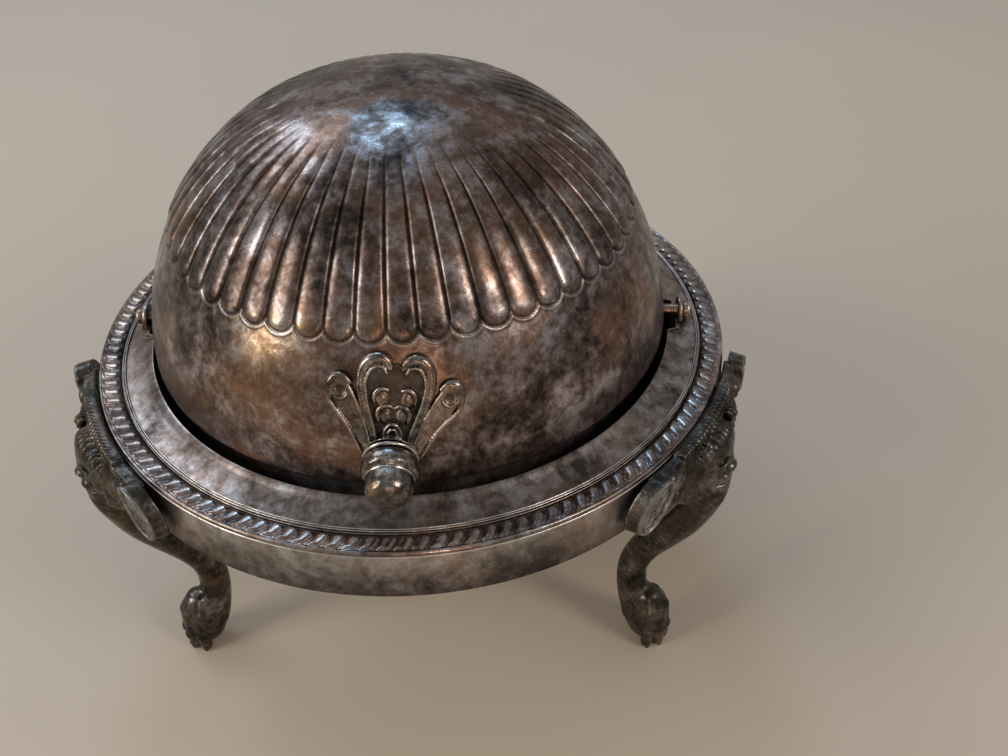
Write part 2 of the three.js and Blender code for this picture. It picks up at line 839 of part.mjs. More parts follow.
// The shank leaves the bracket below the mask, sweeps in to the ankle and swells into the heel.
function shank() {
  const ankle = ankleHeight - rimHeight;
  const stations = evenly(0, 1, shankRows).map((down) => {
    const inwards = down + shankBow * Math.sin(Math.PI * down ** 3);
    return {
      x: kneeRadius + (ankleRadius - kneeRadius) * inwards,
      z: -kneeDrop + (ankle + kneeDrop) * down,
      deep: kneeThickness + (shankThickness - kneeThickness) * down,
      wide: Math.max(kneeWidth + (shankThickness - kneeWidth) * down * 2, shankThickness),
    };
  });
  const top = apronInner + seatGap + kneeThickness / 2;
  stations.unshift({ x: top, z: jawMiddle + jawHeight, deep: kneeThickness, wide: kneeWidth });
  const heel = (ankleRadius + pawRadius) / 2;
  stations.push({ x: heel, z: ankle - ankleHeight / 3, deep: heelLength, wide: heelWidth });
  const path = new THREE.CatmullRomCurve3(stations.map(({ x, z }) => new THREE.Vector3(x, 0, z)));
  return stackedRings(stations.map(({ x, z, deep, wide }, i) => {
    const along = path.getTangent(i / (stations.length - 1));
    return Array.from({ length: shankSides }, (_, k) => {
      const angle = (k / shankSides) * Math.PI * 2;
      const [out, side] = [Math.cos(angle) * deep / 2, Math.sin(angle) * wide / 2];
      return new THREE.Vector3(x - along.z * out, side, z + along.x * out);
    });
  }));
}

// A rounded foot, cut flat where it stands, with toes curled down over its front
function paw() {
  const middle = pawMiddle - rimHeight;
  const pieces = [ellipsoid([pawRadius, 0, middle], [pawLength, pawWidth, pawHeight], pawSides, pawRings)];
  for (let i = 0; i < toeCount; i += 1) {
    const angle = ((i + 0.5) / toeCount - 0.5) * toeSpread * degree;
    const out = Math.cos(angle) * (pawLength - toeWidth) / 2;
    const side = Math.sin(angle) * (pawWidth - toeWidth / 2) / 2;
    const size = [toeWidth, toeWidth, toeHeight];
    pieces.push(ellipsoid([pawRadius + out, side, middle], size, toeSides));
  }
  return pieces;
}

function leg() {
  let body = joined([apron(), shank(), ...lionMask(), roundel(-1), roundel(1), ...paw()]);
  const floor = block([0, -rimRadius, -rimHeight * 2], [rimRadius * 2, rimRadius, -rimHeight]);
  body = body.subtract(solidOf(floor));
  [-legScrewAngle, legScrewAngle].forEach((offset) => {
    const bore = screwRadius + screwClearance;
    const hole = barAlongX(openingRadius, apronInner + legScrewGrip, bore, boltSides);
    body = body.subtract(solidOf(hole.translate(0, 0, -legScrewDrop).rotateZ(offset * degree)));
  });
  return body;
}

function legScrew() {
  const headFace = skirtRadius - sheet - skirtFlare - seatGap * 2;
  const tip = apronInner + legScrewGrip - seatGap;
  const profile = [
    [0, headFace - legScrewHeadLength],
    [legScrewHeadRadius - legScrewHeadRound, headFace - legScrewHeadLength],
    [legScrewHeadRadius, headFace - legScrewHeadLength + legScrewHeadRound],
    [legScrewHeadRadius, headFace],
    [screwRadius, headFace],
    [screwRadius, tip],
    [0, tip],
  ];
  return turned(profile, boltSides).rotateY(Math.PI / 2).translate(0, 0, -legScrewDrop);
}

// Assembly
function node(name, shape, material) {
  const geometry = shape.isBufferGeometry ? closedBody(shape) : closedBody(geometryOf(shape));
  geometry.computeVertexNormals();
  const mesh = new THREE.Mesh(geometry, material);
  mesh.name = name;
  return mesh;
}

function buildDish() {
  const look = finishes();
  const dish = new THREE.Group();
  dish.add(node('rim_flange', rimFlange(), look.rim));
  dish.add(node('gadroon_border', gadroonBorder(), look.border));
  dish.add(node('bead_moulding', beadMoulding(), look.border));
  dish.add(node('lower_body', lowerBody(), look.rim));
  dish.add(node('bowl', bowl(), look.inner));
  dish.add(node('glass_liner', glassLiner(), look.glass));

  const rolling = new THREE.Group();
  rolling.position.z = pivotRise;
  rolling.add(node('cover', cover(), look.cover));
  rolling.add(node('handle_palmette', handlePalmette(), look.bright));
  rolling.add(node('handle_collar', handleCollar(), look.bright));
  rolling.add(node('handle_knob', handleKnob(), look.bright));
  rolling.add(node('handle_nut', handleNut(), look.brass));
  dish.add(rolling);

  sideBySide.forEach(([label, side]) => {
    const pivot = new THREE.Group();
    pivot.rotation.z = side < 0 ? Math.PI : 0;
    const onAxis = new THREE.Group();
    onAxis.position.z = pivotRise;
    pivot.add(node(`pivot_lug_${label}`, pivotLug(), look.rim));
    onAxis.add(node(`pivot_screw_${label}`, pivotScrew(), look.brass));
    onAxis.add(node(`pivot_spacer_${label}`, pivotSpacer(), look.brass));
    onAxis.add(node(`pivot_nut_${label}`, pivotNut(), look.brass));
    pivot.add(onAxis);
    dish.add(pivot);
  });

  Object.entries(legAngles).forEach(([label, angle]) => {
    const place = new THREE.Group();
    place.rotation.z = (angle - 90) * degree;
    place.add(node(`leg_${label}`, leg(), look.cast));
    [-legScrewAngle, legScrewAngle].forEach((offset, i) => {
      const screw = node(`leg_screw_${label}_${i + 1}`, legScrew(), look.brass);
      screw.rotation.z = offset * degree;
      place.add(screw);
    });
    dish.add(place);
  });
  return dish;
}

// The dish stands with its feet on z = 0 and the middle of its outline on the origin.
const dish = buildDish();
dish.updateMatrixWorld(true);
const outline = new THREE.Box3().setFromObject(dish, true);
dish.position.set(
  -(outline.min.x + outline.max.x) / 2,
  -(outline.min.y + outline.max.y) / 2,
  rimHeight,
);
const part = new THREE.Group();
part.add(dish);

export default part;
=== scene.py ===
"""Roll top serving dish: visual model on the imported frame.

Lengths are millimetres in the dish's own frame: x to the right, y to the back, z up, with the dish's axis at
x = y = 0 and the top of the rim at z = 0. to_row() turns them into the row's metres.
"""
import functools
import itertools
from math import acos, asin, ceil, cos, degrees, exp, pi, radians, sin

import bpy
import numpy as np
from mathutils import Matrix, Vector


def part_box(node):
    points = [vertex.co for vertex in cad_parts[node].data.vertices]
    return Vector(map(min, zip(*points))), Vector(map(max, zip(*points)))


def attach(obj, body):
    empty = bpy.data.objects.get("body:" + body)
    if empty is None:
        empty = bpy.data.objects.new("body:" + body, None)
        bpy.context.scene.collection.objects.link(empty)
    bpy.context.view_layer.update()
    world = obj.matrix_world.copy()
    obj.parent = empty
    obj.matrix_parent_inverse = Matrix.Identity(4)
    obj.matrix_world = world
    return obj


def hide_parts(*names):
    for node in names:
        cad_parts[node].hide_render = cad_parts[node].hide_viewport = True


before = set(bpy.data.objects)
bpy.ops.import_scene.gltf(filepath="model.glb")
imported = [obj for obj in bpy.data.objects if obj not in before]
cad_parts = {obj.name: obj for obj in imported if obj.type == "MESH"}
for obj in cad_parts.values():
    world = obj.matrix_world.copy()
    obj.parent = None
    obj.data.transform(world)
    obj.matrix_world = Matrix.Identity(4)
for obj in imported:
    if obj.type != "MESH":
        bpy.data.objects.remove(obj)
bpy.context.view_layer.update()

MM = 0.001

# Sizes shared by several pieces, as in the solids
RIM_RADIUS = 82.5
PIVOT_RISE = 3.1
SEAT_GAP = 0.3
SHEET = 1.2
OPENING_RADIUS = 68.0
FLANGE_RISE = 1.6
BEAD_RADIUS = 75.8
LIP_RADIUS = 67.8
LIP_TOP = 3.2
NOTCH_RADIUS = 70.4
NOTCH_HALF = 6.4
SKIRT_RADIUS = 83.2
SKIRT_HEIGHT = 13.1
BORDER_WIDTH = 5.6
BORDER_SINK = 0.8
COVER_RADIUS = 66.7
COVER_LIFT = 2.9
LEG_ANGLES = {"left": -61, "right": 61, "back": 180}

# Where the dish's own frame lies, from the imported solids
cover_low, cover_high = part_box("cover")
AXIS_Y = (cover_low[1] + cover_high[1]) / 2
RIM_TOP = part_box("rim_flange")[1][2] - FLANGE_RISE * MM

# Body, material slot and material of each kind of piece
COVER_PLATE = ("cover_assembly", "cover_plate", "cover")
HANDLE_SILVER = ("cover_assembly", "handle_silver", "handle")
HANDLE_BRASS = ("cover_assembly", "pivot_brass", "brass")
RIM_PLATE = ("dish", "rim_plate", "rim")
BODY_PLATE = ("dish", "rim_plate", "bowl")
BORDER_PLATE = ("dish", "border_plate", "border")
CAST_METAL = ("dish", "cast_metal", "cast")
BOWL_SILVER = ("dish", "inner_silver", "bowl")
LINER_GLASS = ("dish", "liner_glass", "glass")
PIVOT_BRASS = ("dish", "pivot_brass", "brass")


def to_row(points):
    """Millimetres in the dish's own frame to metres in the row's frame."""
    return np.asarray(points, dtype=float) * MM + (0, AXIS_Y, RIM_TOP)


def ease(value, span=1):
    """From 0 to 1, with a soft start and end, as a value goes from 0 to the span."""
    t = np.clip(value / span, 0, 1)
    return t * t * (3 - 2 * t)


def xyz(x, y, z):
    """Points from their coordinates, each of which may be one number for all."""
    return np.stack(np.broadcast_arrays(x, y, z), axis=1)


def turn_about_z(points, angle):
    x, y, z = points.T
    return xyz(x * cos(angle) - y * sin(angle), x * sin(angle) + y * cos(angle), z)


def smooth_line(points, steps=5):
    """A curved line through the points, whose other values change along with it."""
    values = np.array(points, float)
    padded = np.vstack([2 * values[0] - values[1], values, 2 * values[-1] - values[-2]])
    result = []
    for k in range(1, len(padded) - 2):
        a, b, c, d = padded[k - 1:k + 3]
        curve = (2 * b, c - a, 2 * a - 5 * b + 4 * c - d, 3 * b - a - 3 * c + d)
        result += [0.5 * sum(part * t ** n for n, part in enumerate(curve)) for t in np.arange(steps) / steps]
    return [tuple(point.tolist()) for point in (*result, values[-1])]


# Meshes
def add_piece(name, node, finish, points, faces, wear_and_sheen=0, dirt_and_shade=0):
    """A smooth-shaded mesh from dish-frame points, riding on a body and standing for a CAD node."""
    body, slot, material = finish
    mesh = bpy.data.meshes.new(name)
    mesh.from_pydata(to_row(points).tolist(), [], faces)
    mesh.validate()
    mesh.shade_smooth()
    for mark, values in (("wear_and_sheen", wear_and_sheen), ("dirt_and_shade", dirt_and_shade)):
        layer = mesh.attributes.new(mark, "FLOAT", "POINT")
        layer.data.foreach_set("value", np.full(len(points), values, dtype=np.float32))
    piece = bpy.data.objects.new(name, mesh)
    bpy.context.scene.collection.objects.link(piece)
    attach(piece, body)
    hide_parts(node)
    mesh.materials.append(MATERIALS[material])


def grid_faces(rows, columns, closed=False):
    """Quads between rows of points that go all round, and back to the first row if closed."""
    low, j = np.arange(rows if closed else rows - 1)[:, None] * columns, np.arange(columns)
    high, k = (low + columns) % (rows * columns), (j + 1) % columns
    return np.stack([low + j, low + k, high + k, high + j], axis=-1).reshape(-1, 4).tolist()


def add_caps(points, faces, columns, first_hub, last_hub):
    """Close the first and the last row round a hub each. The faces grow in place."""
    hub, last = len(points), len(points) - columns
    for j in range(columns):
        k = (j + 1) % columns
        faces += [(hub, k, j), (hub + 1, last + j, last + k)]
    return np.concatenate([points, [first_hub, last_hub]])


def turned(profile, segments, closed=True):
    """Points and faces of a profile of (radius, height) pairs turned about Z."""
    circle = [(cos(a), sin(a)) for a in np.arange(segments) * 2 * pi / segments]
    points = [(radius * c, radius * s, height) for radius, height in profile for c, s in circle]
    return np.array(points), grid_faces(len(profile), segments, closed)


def rounded(profile, radius, steps=4):
    """A closed profile with each corner replaced by a short arc."""
    corners, t = np.array(profile, dtype=float), np.arange(steps + 1)[:, None] / steps
    result = []
    for before, here, after in zip(np.roll(corners, 1, 0), corners, np.roll(corners, -1, 0)):
        start, end = (here + way / np.linalg.norm(way) * min(radius, np.linalg.norm(way) * 0.45)
                      for way in (before - here, after - here))
        result += ((1 - t) ** 2 * start + 2 * t * (1 - t) * here + t * t * end).tolist()
    return result


def joined(rows):
    """Points, wear-and-sheen and dirt-and-shade of all rows round the dish. One number may be a row's wear-and-sheen
    or dirt-and-shade.
    """
    points, wear_and_sheen, dirt_and_shade = zip(*rows)
    return np.concatenate(points), *(
        np.concatenate([np.full(len(points[0]), value) for value in values]) for values in (wear_and_sheen, dirt_and_shade))


def grows_along(start, span, amount):
    """Wear-and-sheen or dirt-and-shade that comes up along a turned piece."""
    return lambda points: ease(points[:, 2] - start, span) * amount


def nowhere(points):
    return 0


def turned_part(name, node, finish, profile, place, segments, wear_and_sheen=nowhere, dirt_and_shade=nowhere, soft=0, steps=4):
    """A piece turned from a profile of (radius, distance along), with caps where that meets the axis."""
    on_axis = profile[0][0] == 0
    rings, ends = (rounded(profile, soft, steps), steps + 1) if soft else (profile, 1)
    rings = rings[ends:-ends] if on_axis else rings
    points, faces = turned(rings, segments, closed=not on_axis)
    if on_axis:
        points = add_caps(points, faces, segments, (0, 0, profile[0][1]), (0, 0, profile[-1][1]))
    add_piece(name, node, finish, place(points), faces, wear_and_sheen(points), dirt_and_shade(points))


def upright(points):
    """The place of a piece turned about the dish's own axis."""
    return points


def along_x(points, side=1, height=PIVOT_RISE):
    """From points turned about Z to a line along X, towards one side."""
    return xyz(side * points[:, 2], points[:, 1], -side * points[:, 0] + height)


# Materials
# Colour of tarnish in hollows, also used for the painted dark reflections on the knob's end and the flange's front
DIRT_AND_SHADE = (0.012, 0.011, 0.01)


class Look:
    """A material whose nodes feed one shader."""

    def __init__(self, name):
        self.material = bpy.data.materials.new(name)
        self.material.use_nodes = True
        self.tree = self.material.node_tree
        self.tree.nodes.clear()
        self.shader = self.node("BsdfPrincipled")
        self.node("OutputMaterial", {"Surface": self.shader.outputs[0]})
        self.place = self.node("TexCoord").outputs["Object"]

    def feed(self, node, inputs):
        """Set a node's inputs, each a plain value, a colour or another node's socket."""
        for key, value in inputs.items():
            if isinstance(value, bpy.types.NodeSocket):
                self.tree.links.new(value, node.inputs[key])
            else:
                node.inputs[key].default_value = (*value, 1) if isinstance(value, tuple) else value

    def node(self, kind, inputs=None, **settings):
        node = self.tree.nodes.new("ShaderNode" + kind)
        for key, value in settings.items():
            setattr(node, key, value)
        self.feed(node, inputs or {})
        return node

    def surface(self, **inputs):
        """Set the shader's inputs, whose names have spaces for underscores."""
        self.feed(self.shader, {key.replace("_", " "): value for key, value in inputs.items()})

    def noise(self, scale, detail, roughness, distortion=0):
        return self.node("TexNoise", {
            "Vector": self.place, "Scale": scale, "Detail": detail, "Roughness": roughness,
            "Distortion": distortion}).outputs["Fac"]

    def ramp(self, value, *stops):
        """A colour ramp with (position, colour) stops. A plain number stands for a grey."""
        node = self.node("ValToRGB", {"Fac": value})
        elements = node.color_ramp.elements
        while len(elements) < len(stops):
            elements.new(0.5)
        for element, (position, colour) in zip(elements, stops):
            element.position = position
            element.color = (*colour, 1) if isinstance(colour, tuple) else (colour, colour, colour, 1)
        return node.outputs["Color"]

    def mix(self, factor, first, second, blend="MIX"):
        return self.node("Mix", {0: factor, 6: first, 7: second}, data_type="RGBA", blend_type=blend).outputs[2]

    def maths(self, operation, first, second, clamp=False):
        return self.node("Math", {0: first, 1: second}, operation=operation, use_clamp=clamp).outputs[0]

    def mark(self, name):
        return self.node("Attribute", attribute_name=name).outputs["Fac"]

    def bump(self, height, strength, distance):
        self.surface(Normal=self.node("Bump", {
            "Height": height, "Strength": strength, "Distance": distance}).outputs[0])


def tarnished(name, dark, middle, pale, warm, patch_scale, clean_amount, rough, clean=(0.62, 0.6, 0.57),
              bump=0.12, metal=1):
    """Silver plate under patchy tarnish. The wear-and-sheen mark brightens rubbed raised edges and, in places, paints
    a highlight; the dirt-and-shade mark darkens tarnished hollows and other dull places and, in places, paints dark
    reflections.
    """
    look = Look(name)
    broad = look.noise(patch_scale, 5, 0.62, 0.9)
    cloudy = look.noise(patch_scale * 2.7, 7, 0.66, 0.5)
    mottle = look.noise(patch_scale * 8, 6, 0.7, 0.2)
    speckle = look.noise(patch_scale * 22, 4, 0.7)
    warmth = look.noise(patch_scale * 0.7, 4, 0.55, 1)
    wear_and_sheen, dirt_and_shade = look.mark("wear_and_sheen"), look.mark("dirt_and_shade")
    patches = look.maths("ADD", look.maths("MULTIPLY", broad, 0.33), look.maths("MULTIPLY", cloudy, 0.33))
    patches = look.maths("ADD", patches, look.maths("MULTIPLY", mottle, 0.34))
    tone = look.ramp(patches, (0.425, dark), (0.495, middle), (0.575, pale))
    tone = look.mix(look.ramp(warmth, (0.45, 0), (0.68, 0.5)), tone, warm)
    clean_mask = look.ramp(look.maths("MULTIPLY", cloudy, broad), (0.3, 0), (0.42, clean_amount))
    tone = look.mix(clean_mask, tone, clean)
    tone = look.mix(0.55, tone, look.ramp(speckle, (0.3, 0.35), (0.7, 0.8)), "OVERLAY")
    wear_and_sheen_mask = look.maths("MULTIPLY", wear_and_sheen, look.ramp(cloudy, (0.3, 0.25), (0.6, 1)), clamp=True)
    tone = look.mix(wear_and_sheen_mask, tone, clean)
    gloss = look.ramp(cloudy, (0.3, rough[1]), (0.7, rough[0]))
    look.surface(Base_Color=look.mix(dirt_and_shade, tone, DIRT_AND_SHADE), Metallic=metal,
                 Roughness=look.mix(dirt_and_shade, gloss, (0.7, 0.7, 0.7)))
    look.bump(look.maths("ADD", look.maths("MULTIPLY", speckle, 0.35), cloudy), bump, 0.0006)
    return look.material


def clear_glass():
    look = Look("liner_glass")
    waves = look.noise(60, 3, 0.5)
    look.surface(Base_Color=(0.93, 0.97, 0.96), Roughness=look.ramp(waves, (0.3, 0.03), (0.7, 0.09)),
                 Transmission_Weight=1, IOR=1.5)
    look.bump(waves, 0.08, 0.001)
    return look.material


def plain_floor():
    look = Look("floor")
    tone = look.ramp(look.noise(3, 3, 0.5), (0.3, (0.55, 0.47, 0.385)), (0.7, (0.6, 0.51, 0.415)))
    look.surface(Base_Color=tone, Roughness=0.75)
    return look.material


# Four tones, the patches' scale, the share of clean metal, and the roughness where clean and where dull
MATERIALS = {
    "cover": tarnished("tarnished_cover", (0.03, 0.024, 0.022), (0.115, 0.087, 0.078), (0.29, 0.26, 0.265),
        (0.3, 0.165, 0.1), 50, 0.4, (0.2, 0.42), clean=(0.6, 0.58, 0.56)),
    "rim": tarnished("tarnished_rim", (0.065, 0.054, 0.05), (0.2, 0.165, 0.15), (0.38, 0.36, 0.37),
        (0.38, 0.24, 0.17), 44, 0.4, (0.22, 0.44)),
    "border": tarnished("rubbed_border", (0.06, 0.048, 0.044), (0.2, 0.16, 0.148), (0.4, 0.38, 0.385),
        (0.4, 0.24, 0.17), 60, 0.5, (0.16, 0.36), clean=(0.72, 0.7, 0.68)),
    "cast": tarnished("dark_cast", (0.018, 0.017, 0.015), (0.056, 0.05, 0.045), (0.15, 0.14, 0.13),
        (0.16, 0.105, 0.072), 80, 0.25, (0.2, 0.42), clean=(0.5, 0.49, 0.47), bump=0.2),
    "handle": tarnished("rubbed_handle", (0.05, 0.042, 0.038), (0.17, 0.145, 0.13), (0.38, 0.35, 0.34),
        (0.36, 0.23, 0.15), 110, 0.45, (0.12, 0.3), clean=(0.74, 0.72, 0.7), bump=0.15),
    "bowl": tarnished("tarnished_bowl", (0.05, 0.045, 0.044), (0.12, 0.105, 0.1), (0.26, 0.24, 0.24),
        (0.24, 0.16, 0.11), 44, 0.2, (0.3, 0.55), metal=0.75),
    "brass": tarnished("worn_brass", (0.09, 0.06, 0.045), (0.24, 0.165, 0.12), (0.38, 0.3, 0.25),
        (0.38, 0.22, 0.15), 160, 0.4, (0.22, 0.42), bump=0.2),
    "glass": clear_glass(),
    "floor": plain_floor(),
}


# Cover: a fluted half ball of sheet, with ears round its pivots
FLUTE_COUNT = 52
FLUTE_PITCH = 360 / FLUTE_COUNT
FLUTE_FOOT = 32.3
FLUTE_TOP = 69.5
FLUTE_FADE = 15
FLUTE_TURN = -2.2
FLUTE_RELIEF = 0.8
CREASE_DEPTH = 0.22
FOOT_LIP = 0.2
EAR_RADIUS = 5.6


def flute_relief(azimuth, latitude):
    """Height of the flutes over the ball, and how deep in a groove each place lies, for angles in degrees."""
    turns = (azimuth - FLUTE_TURN) / FLUTE_PITCH + 0.5
    across = (turns - np.floor(turns)) * 2 - 1
    widest = radians(FLUTE_PITCH / 2) * COVER_RADIUS
    half = widest * np.cos(np.radians(latitude))
    foot_half = widest * cos(radians(FLUTE_FOOT))
    climb = np.radians(latitude - FLUTE_FOOT) * COVER_RADIUS + foot_half * 0.45
    round_end = foot_half - np.sqrt((across * half) ** 2 + (climb - foot_half) ** 2)
    inside = np.where(climb < foot_half, round_end, half - np.abs(across * half))
    share = np.clip(inside / np.maximum(half * 0.92, 0.1), 0, 1)
    bulge = np.sqrt(np.clip(1 - (1 - share) ** 2.2, 0, 1))
    crown = ease(FLUTE_TOP - latitude, FLUTE_FADE)
    crease = np.exp(-(np.minimum(inside - 0.05, 0.9) / 0.3) ** 2) * crown
    outside = np.clip(-inside, 0, 5)
    below = latitude < FLUTE_FOOT + 3
    lip = np.exp(-((outside - 0.72) / 0.27) ** 2) * below * (climb < foot_half * 0.7)
    height = FLUTE_RELIEF * bulge * crown - CREASE_DEPTH * crease * (inside > -1.2) + FOOT_LIP * lip
    return height, np.clip(crease, 0, 1), np.clip(lip, 0, 1)


def cover_edge(azimuth):
    """Latitude of the cover's lower edge in degrees: level, and lower round each pivot."""
    level = degrees(asin(COVER_LIFT / COVER_RADIUS))
    along = np.abs(COVER_RADIUS * np.cos(np.radians(azimuth)))
    drop = np.sqrt(np.clip(EAR_RADIUS ** 2 - along ** 2, 0, None))
    ear = -np.degrees(np.arcsin(drop / COVER_RADIUS))
    return np.where(along < EAR_RADIUS, np.minimum(ear, level), level)


def flute_columns(steps=20):
    """Azimuths round the cover, denser beside each groove."""
    share = np.arange(steps) / steps * 2 - 1
    bent = np.sign(share) * (1 - (1 - np.abs(share)) ** 1.25)
    return np.concatenate([FLUTE_TURN + (k + bent / 2) * FLUTE_PITCH for k in range(FLUTE_COUNT)])


def cover_piece():
    azimuth = flute_columns()
    around, edge = np.radians(azimuth), cover_edge(azimuth)
    inner, plain_top = COVER_RADIUS - 1, 27.5
    rows = [edge + (plain_top - edge) * t for t in np.linspace(0, 1, 18)]
    for start, end, step in ((27.8, 37.5, 0.28), (38, 56, 1.2), (56.5, 72, 0.7), (74, 89.5, 2)):
        rows += [np.full_like(azimuth, latitude) for latitude in np.arange(start, end, step)]
    band = []

    def add_row(latitude, radius, wear_and_sheen=0, dirt_and_shade=0):
        up = np.radians(latitude)
        flat = radius * np.cos(up)
        band.append((xyz(flat * np.sin(around), -flat * np.cos(around), radius * np.sin(up)), wear_and_sheen, dirt_and_shade))

    # One band runs from the crown's outside down to the edge, round it and up the inside.
    rubbed = 0.4 + 0.25 * np.sin(azimuth * 0.21 + 1) * np.cos(azimuth * 0.093)
    for latitude in reversed(rows):
        height, crease, lip = flute_relief(azimuth, latitude)
        add_row(latitude, COVER_RADIUS + height, lip * rubbed, crease * 0.75)
    for drop, radius in ((0.35, COVER_RADIUS - 0.15), (0.45, COVER_RADIUS - 0.5), (0.35, inner + 0.15), (0, inner)):
        add_row(edge - drop, radius, 0.8)
    for t in np.linspace(0.02, 1, 30):
        add_row(edge + (88 - edge) * t, inner)
    points, wear_and_sheen, dirt_and_shade = joined(band)
    faces = grid_faces(len(band), len(azimuth))
    points = add_caps(points, faces, len(azimuth), (0, 0, COVER_RADIUS), (0, 0, inner))
    points[:, 2] = np.minimum(points[:, 2] + PIVOT_RISE, (cover_high[2] - RIM_TOP) / MM - 0.01)
    add_piece("fluted_cover", "cover", COVER_PLATE, points, faces, np.append(wear_and_sheen, [0, 0]), np.append(dirt_and_shade, [0, 0]))


# Rim: a flat flange with a raised lip round the opening, and the skirt, in one smooth turned piece
def rim_piece():
    seat_radius, seat = RIM_RADIUS - BORDER_WIDTH, -BORDER_SINK
    profile = rounded([
        (OPENING_RADIUS, FLANGE_RISE - SHEET), (LIP_RADIUS, 1.4), (LIP_RADIUS, LIP_TOP), (68.6, LIP_TOP - 0.35),
        (69.8, 2), (71.5, 1.25), (73.5, 0.55), (BEAD_RADIUS, 0),
        (seat_radius - SEAT_GAP, 0), (seat_radius - SEAT_GAP, seat), (RIM_RADIUS, seat),
        (SKIRT_RADIUS, -SKIRT_HEIGHT), (SKIRT_RADIUS - SHEET, -SKIRT_HEIGHT), (RIM_RADIUS - SHEET, seat - SHEET),
        (seat_radius - SHEET, seat - SHEET), (BEAD_RADIUS - SHEET, -SHEET)], 0.5)
    points, faces = turned(profile, 720)
    radius = np.hypot(points[:, 0], points[:, 1])
    along = np.abs(points[:, 1])
    # The opening steps out into a notch beside each pivot.
    at_edge = radius < OPENING_RADIUS + 1
    step = ease(NOTCH_HALF + 0.3 - along, 0.6) * at_edge * (NOTCH_RADIUS - OPENING_RADIUS)
    points[:, :2] *= ((radius + step) / radius)[:, None]
    # The raised lip ends before each notch, where the ears have their seats.
    plain = FLANGE_RISE * (BEAD_RADIUS - radius) / (BEAD_RADIUS - OPENING_RADIUS)
    lifted = (points[:, 2] > plain) & (radius < BEAD_RADIUS - 0.3)
    low = ease(NOTCH_HALF + 3.5 - along, 2.6) * lifted
    points[:, 2] += low * (np.minimum(plain, FLANGE_RISE) - points[:, 2])
    # Rubbed where the skirt begins; rubbed, with a painted highlight, on the lip; darker and duller over the skirt; a
    # painted dark reflection over the front of the flange
    height = points[:, 2]
    wear_and_sheen = ease(height + 1.6, 0.6) * ease(radius - RIM_RADIUS + 0.8, 0.5) * 0.8
    # A painted highlight along the lip round the opening, over its rubbing
    wear_and_sheen = np.maximum(wear_and_sheen, 0.35 * (radius < OPENING_RADIUS + 0.1))
    dirt_and_shade = 0.58 * ease(-1.6 - height, 1.2)
    # A painted dark reflection over the front of the flange, inside the bead
    turn = np.degrees(np.arctan2(points[:, 0], -points[:, 1]))
    front = ease(turn + 40, 30) * ease(50 - turn, 30)
    dirt_and_shade = np.maximum(dirt_and_shade, 0.3 * front * (height > -0.5) * (radius < BEAD_RADIUS))
    add_piece("rim", "rim_flange", RIM_PLATE, points, faces, wear_and_sheen, dirt_and_shade)


# Gadroon border: a wide lobe and a thin tongue in each period, with round tips towards the dish's middle
LOBE_COUNT = 135
COLUMNS_PER_LOBE = 20


def border_piece(rows=24):
    inner, outer = RIM_RADIUS - BORDER_WIDTH, RIM_RADIUS - SEAT_GAP / 2
    base = SEAT_GAP - BORDER_SINK
    phase = np.arange(LOBE_COUNT * COLUMNS_PER_LOBE) / COLUMNS_PER_LOBE
    angle = phase / LOBE_COUNT * 2 * pi
    # Each stamped lobe differs a little from the next.
    number = np.floor(phase)
    uneven = 0.5 + 0.5 * np.sin(number * 2.4) * np.cos(number * 0.83)
    band = []

    def add_row(radius, height, wear_and_sheen=0, dirt_and_shade=0):
        band.append((xyz(radius * np.cos(angle), radius * np.sin(angle), height), wear_and_sheen, dirt_and_shade))

    add_row(inner, base, dirt_and_shade=0.8)
    for share in np.arange(rows) / (rows - 1):
        place = phase + 0.12 * share + 0.62 * share ** 2
        cell = place - np.floor(place)
        wide = (cell - 0.42) / (0.43 - 0.08 * share)
        thin = (cell - 0.92) / 0.07
        reach_wide = ease(share - 0.02 - 0.14 * wide ** 2, 0.14)
        reach_thin = ease(share - 0.24 - 0.2 * thin ** 2, 0.16)
        lobe = np.maximum(np.sqrt(np.clip(1 - wide ** 2, 0, 1)) * reach_wide * (0.86 + 0.14 * uneven),
                          np.sqrt(np.clip(1 - thin ** 2, 0, 1)) * reach_thin * 0.4)
        fade = ease(0.86 - share, 0.2)
        edge = np.sqrt(max(1 - (share * 2 - 1) ** 6, 0))
        roll = exp(-((share - 0.91) / 0.075) ** 2)
        add_row(inner + (outer - inner) * share,
                base + edge * (0.42 + 0.8 * lobe * fade * (1 - 0.35 * share)) + 0.36 * roll,
                np.clip(lobe ** 2 * (0.95 - 1.5 * share) * fade + 0.15 * roll, 0, 1),
                np.clip(1 - lobe * 2.2, 0, 1) * fade * 0.45 * (share > 0.02))
    add_row(outer, base)
    points, wear_and_sheen, dirt_and_shade = joined(band)
    add_piece("gadroon", "gadroon_border", BORDER_PLATE, points, grid_faces(len(band), len(phase), True), wear_and_sheen, dirt_and_shade)


def bead_piece():
    """Two fine raised lines side by side, just inside the border."""
    profile = []
    for centre, height in ((BEAD_RADIUS + 0.27, 0.34), (BEAD_RADIUS - 0.27, 0.44)):
        profile += [(centre + 0.25 * cos(t), 0.2 + height * sin(t)) for t in np.linspace(0, pi, 8)]
    profile += [(BEAD_RADIUS - 0.5, 0.05), (BEAD_RADIUS + 0.5, 0.05)]
    turned_part("bead_line", "bead_moulding", BORDER_PLATE, profile, upright, 360, grows_along(0.3, 0.3, 0.9),
                lambda p: ease(0.25 - p[:, 2], 0.2))


# Modelled shapes: a distance field on a fine grid, built up and cut back piece by piece, then skinned
FAR = 4.0
BOTH = (-1, 1)


def smooth_least(first, second, blend):
    overlap = np.clip(blend - np.abs(first - second), 0, None) / blend
    return np.minimum(first, second) - overlap * overlap * blend / 4


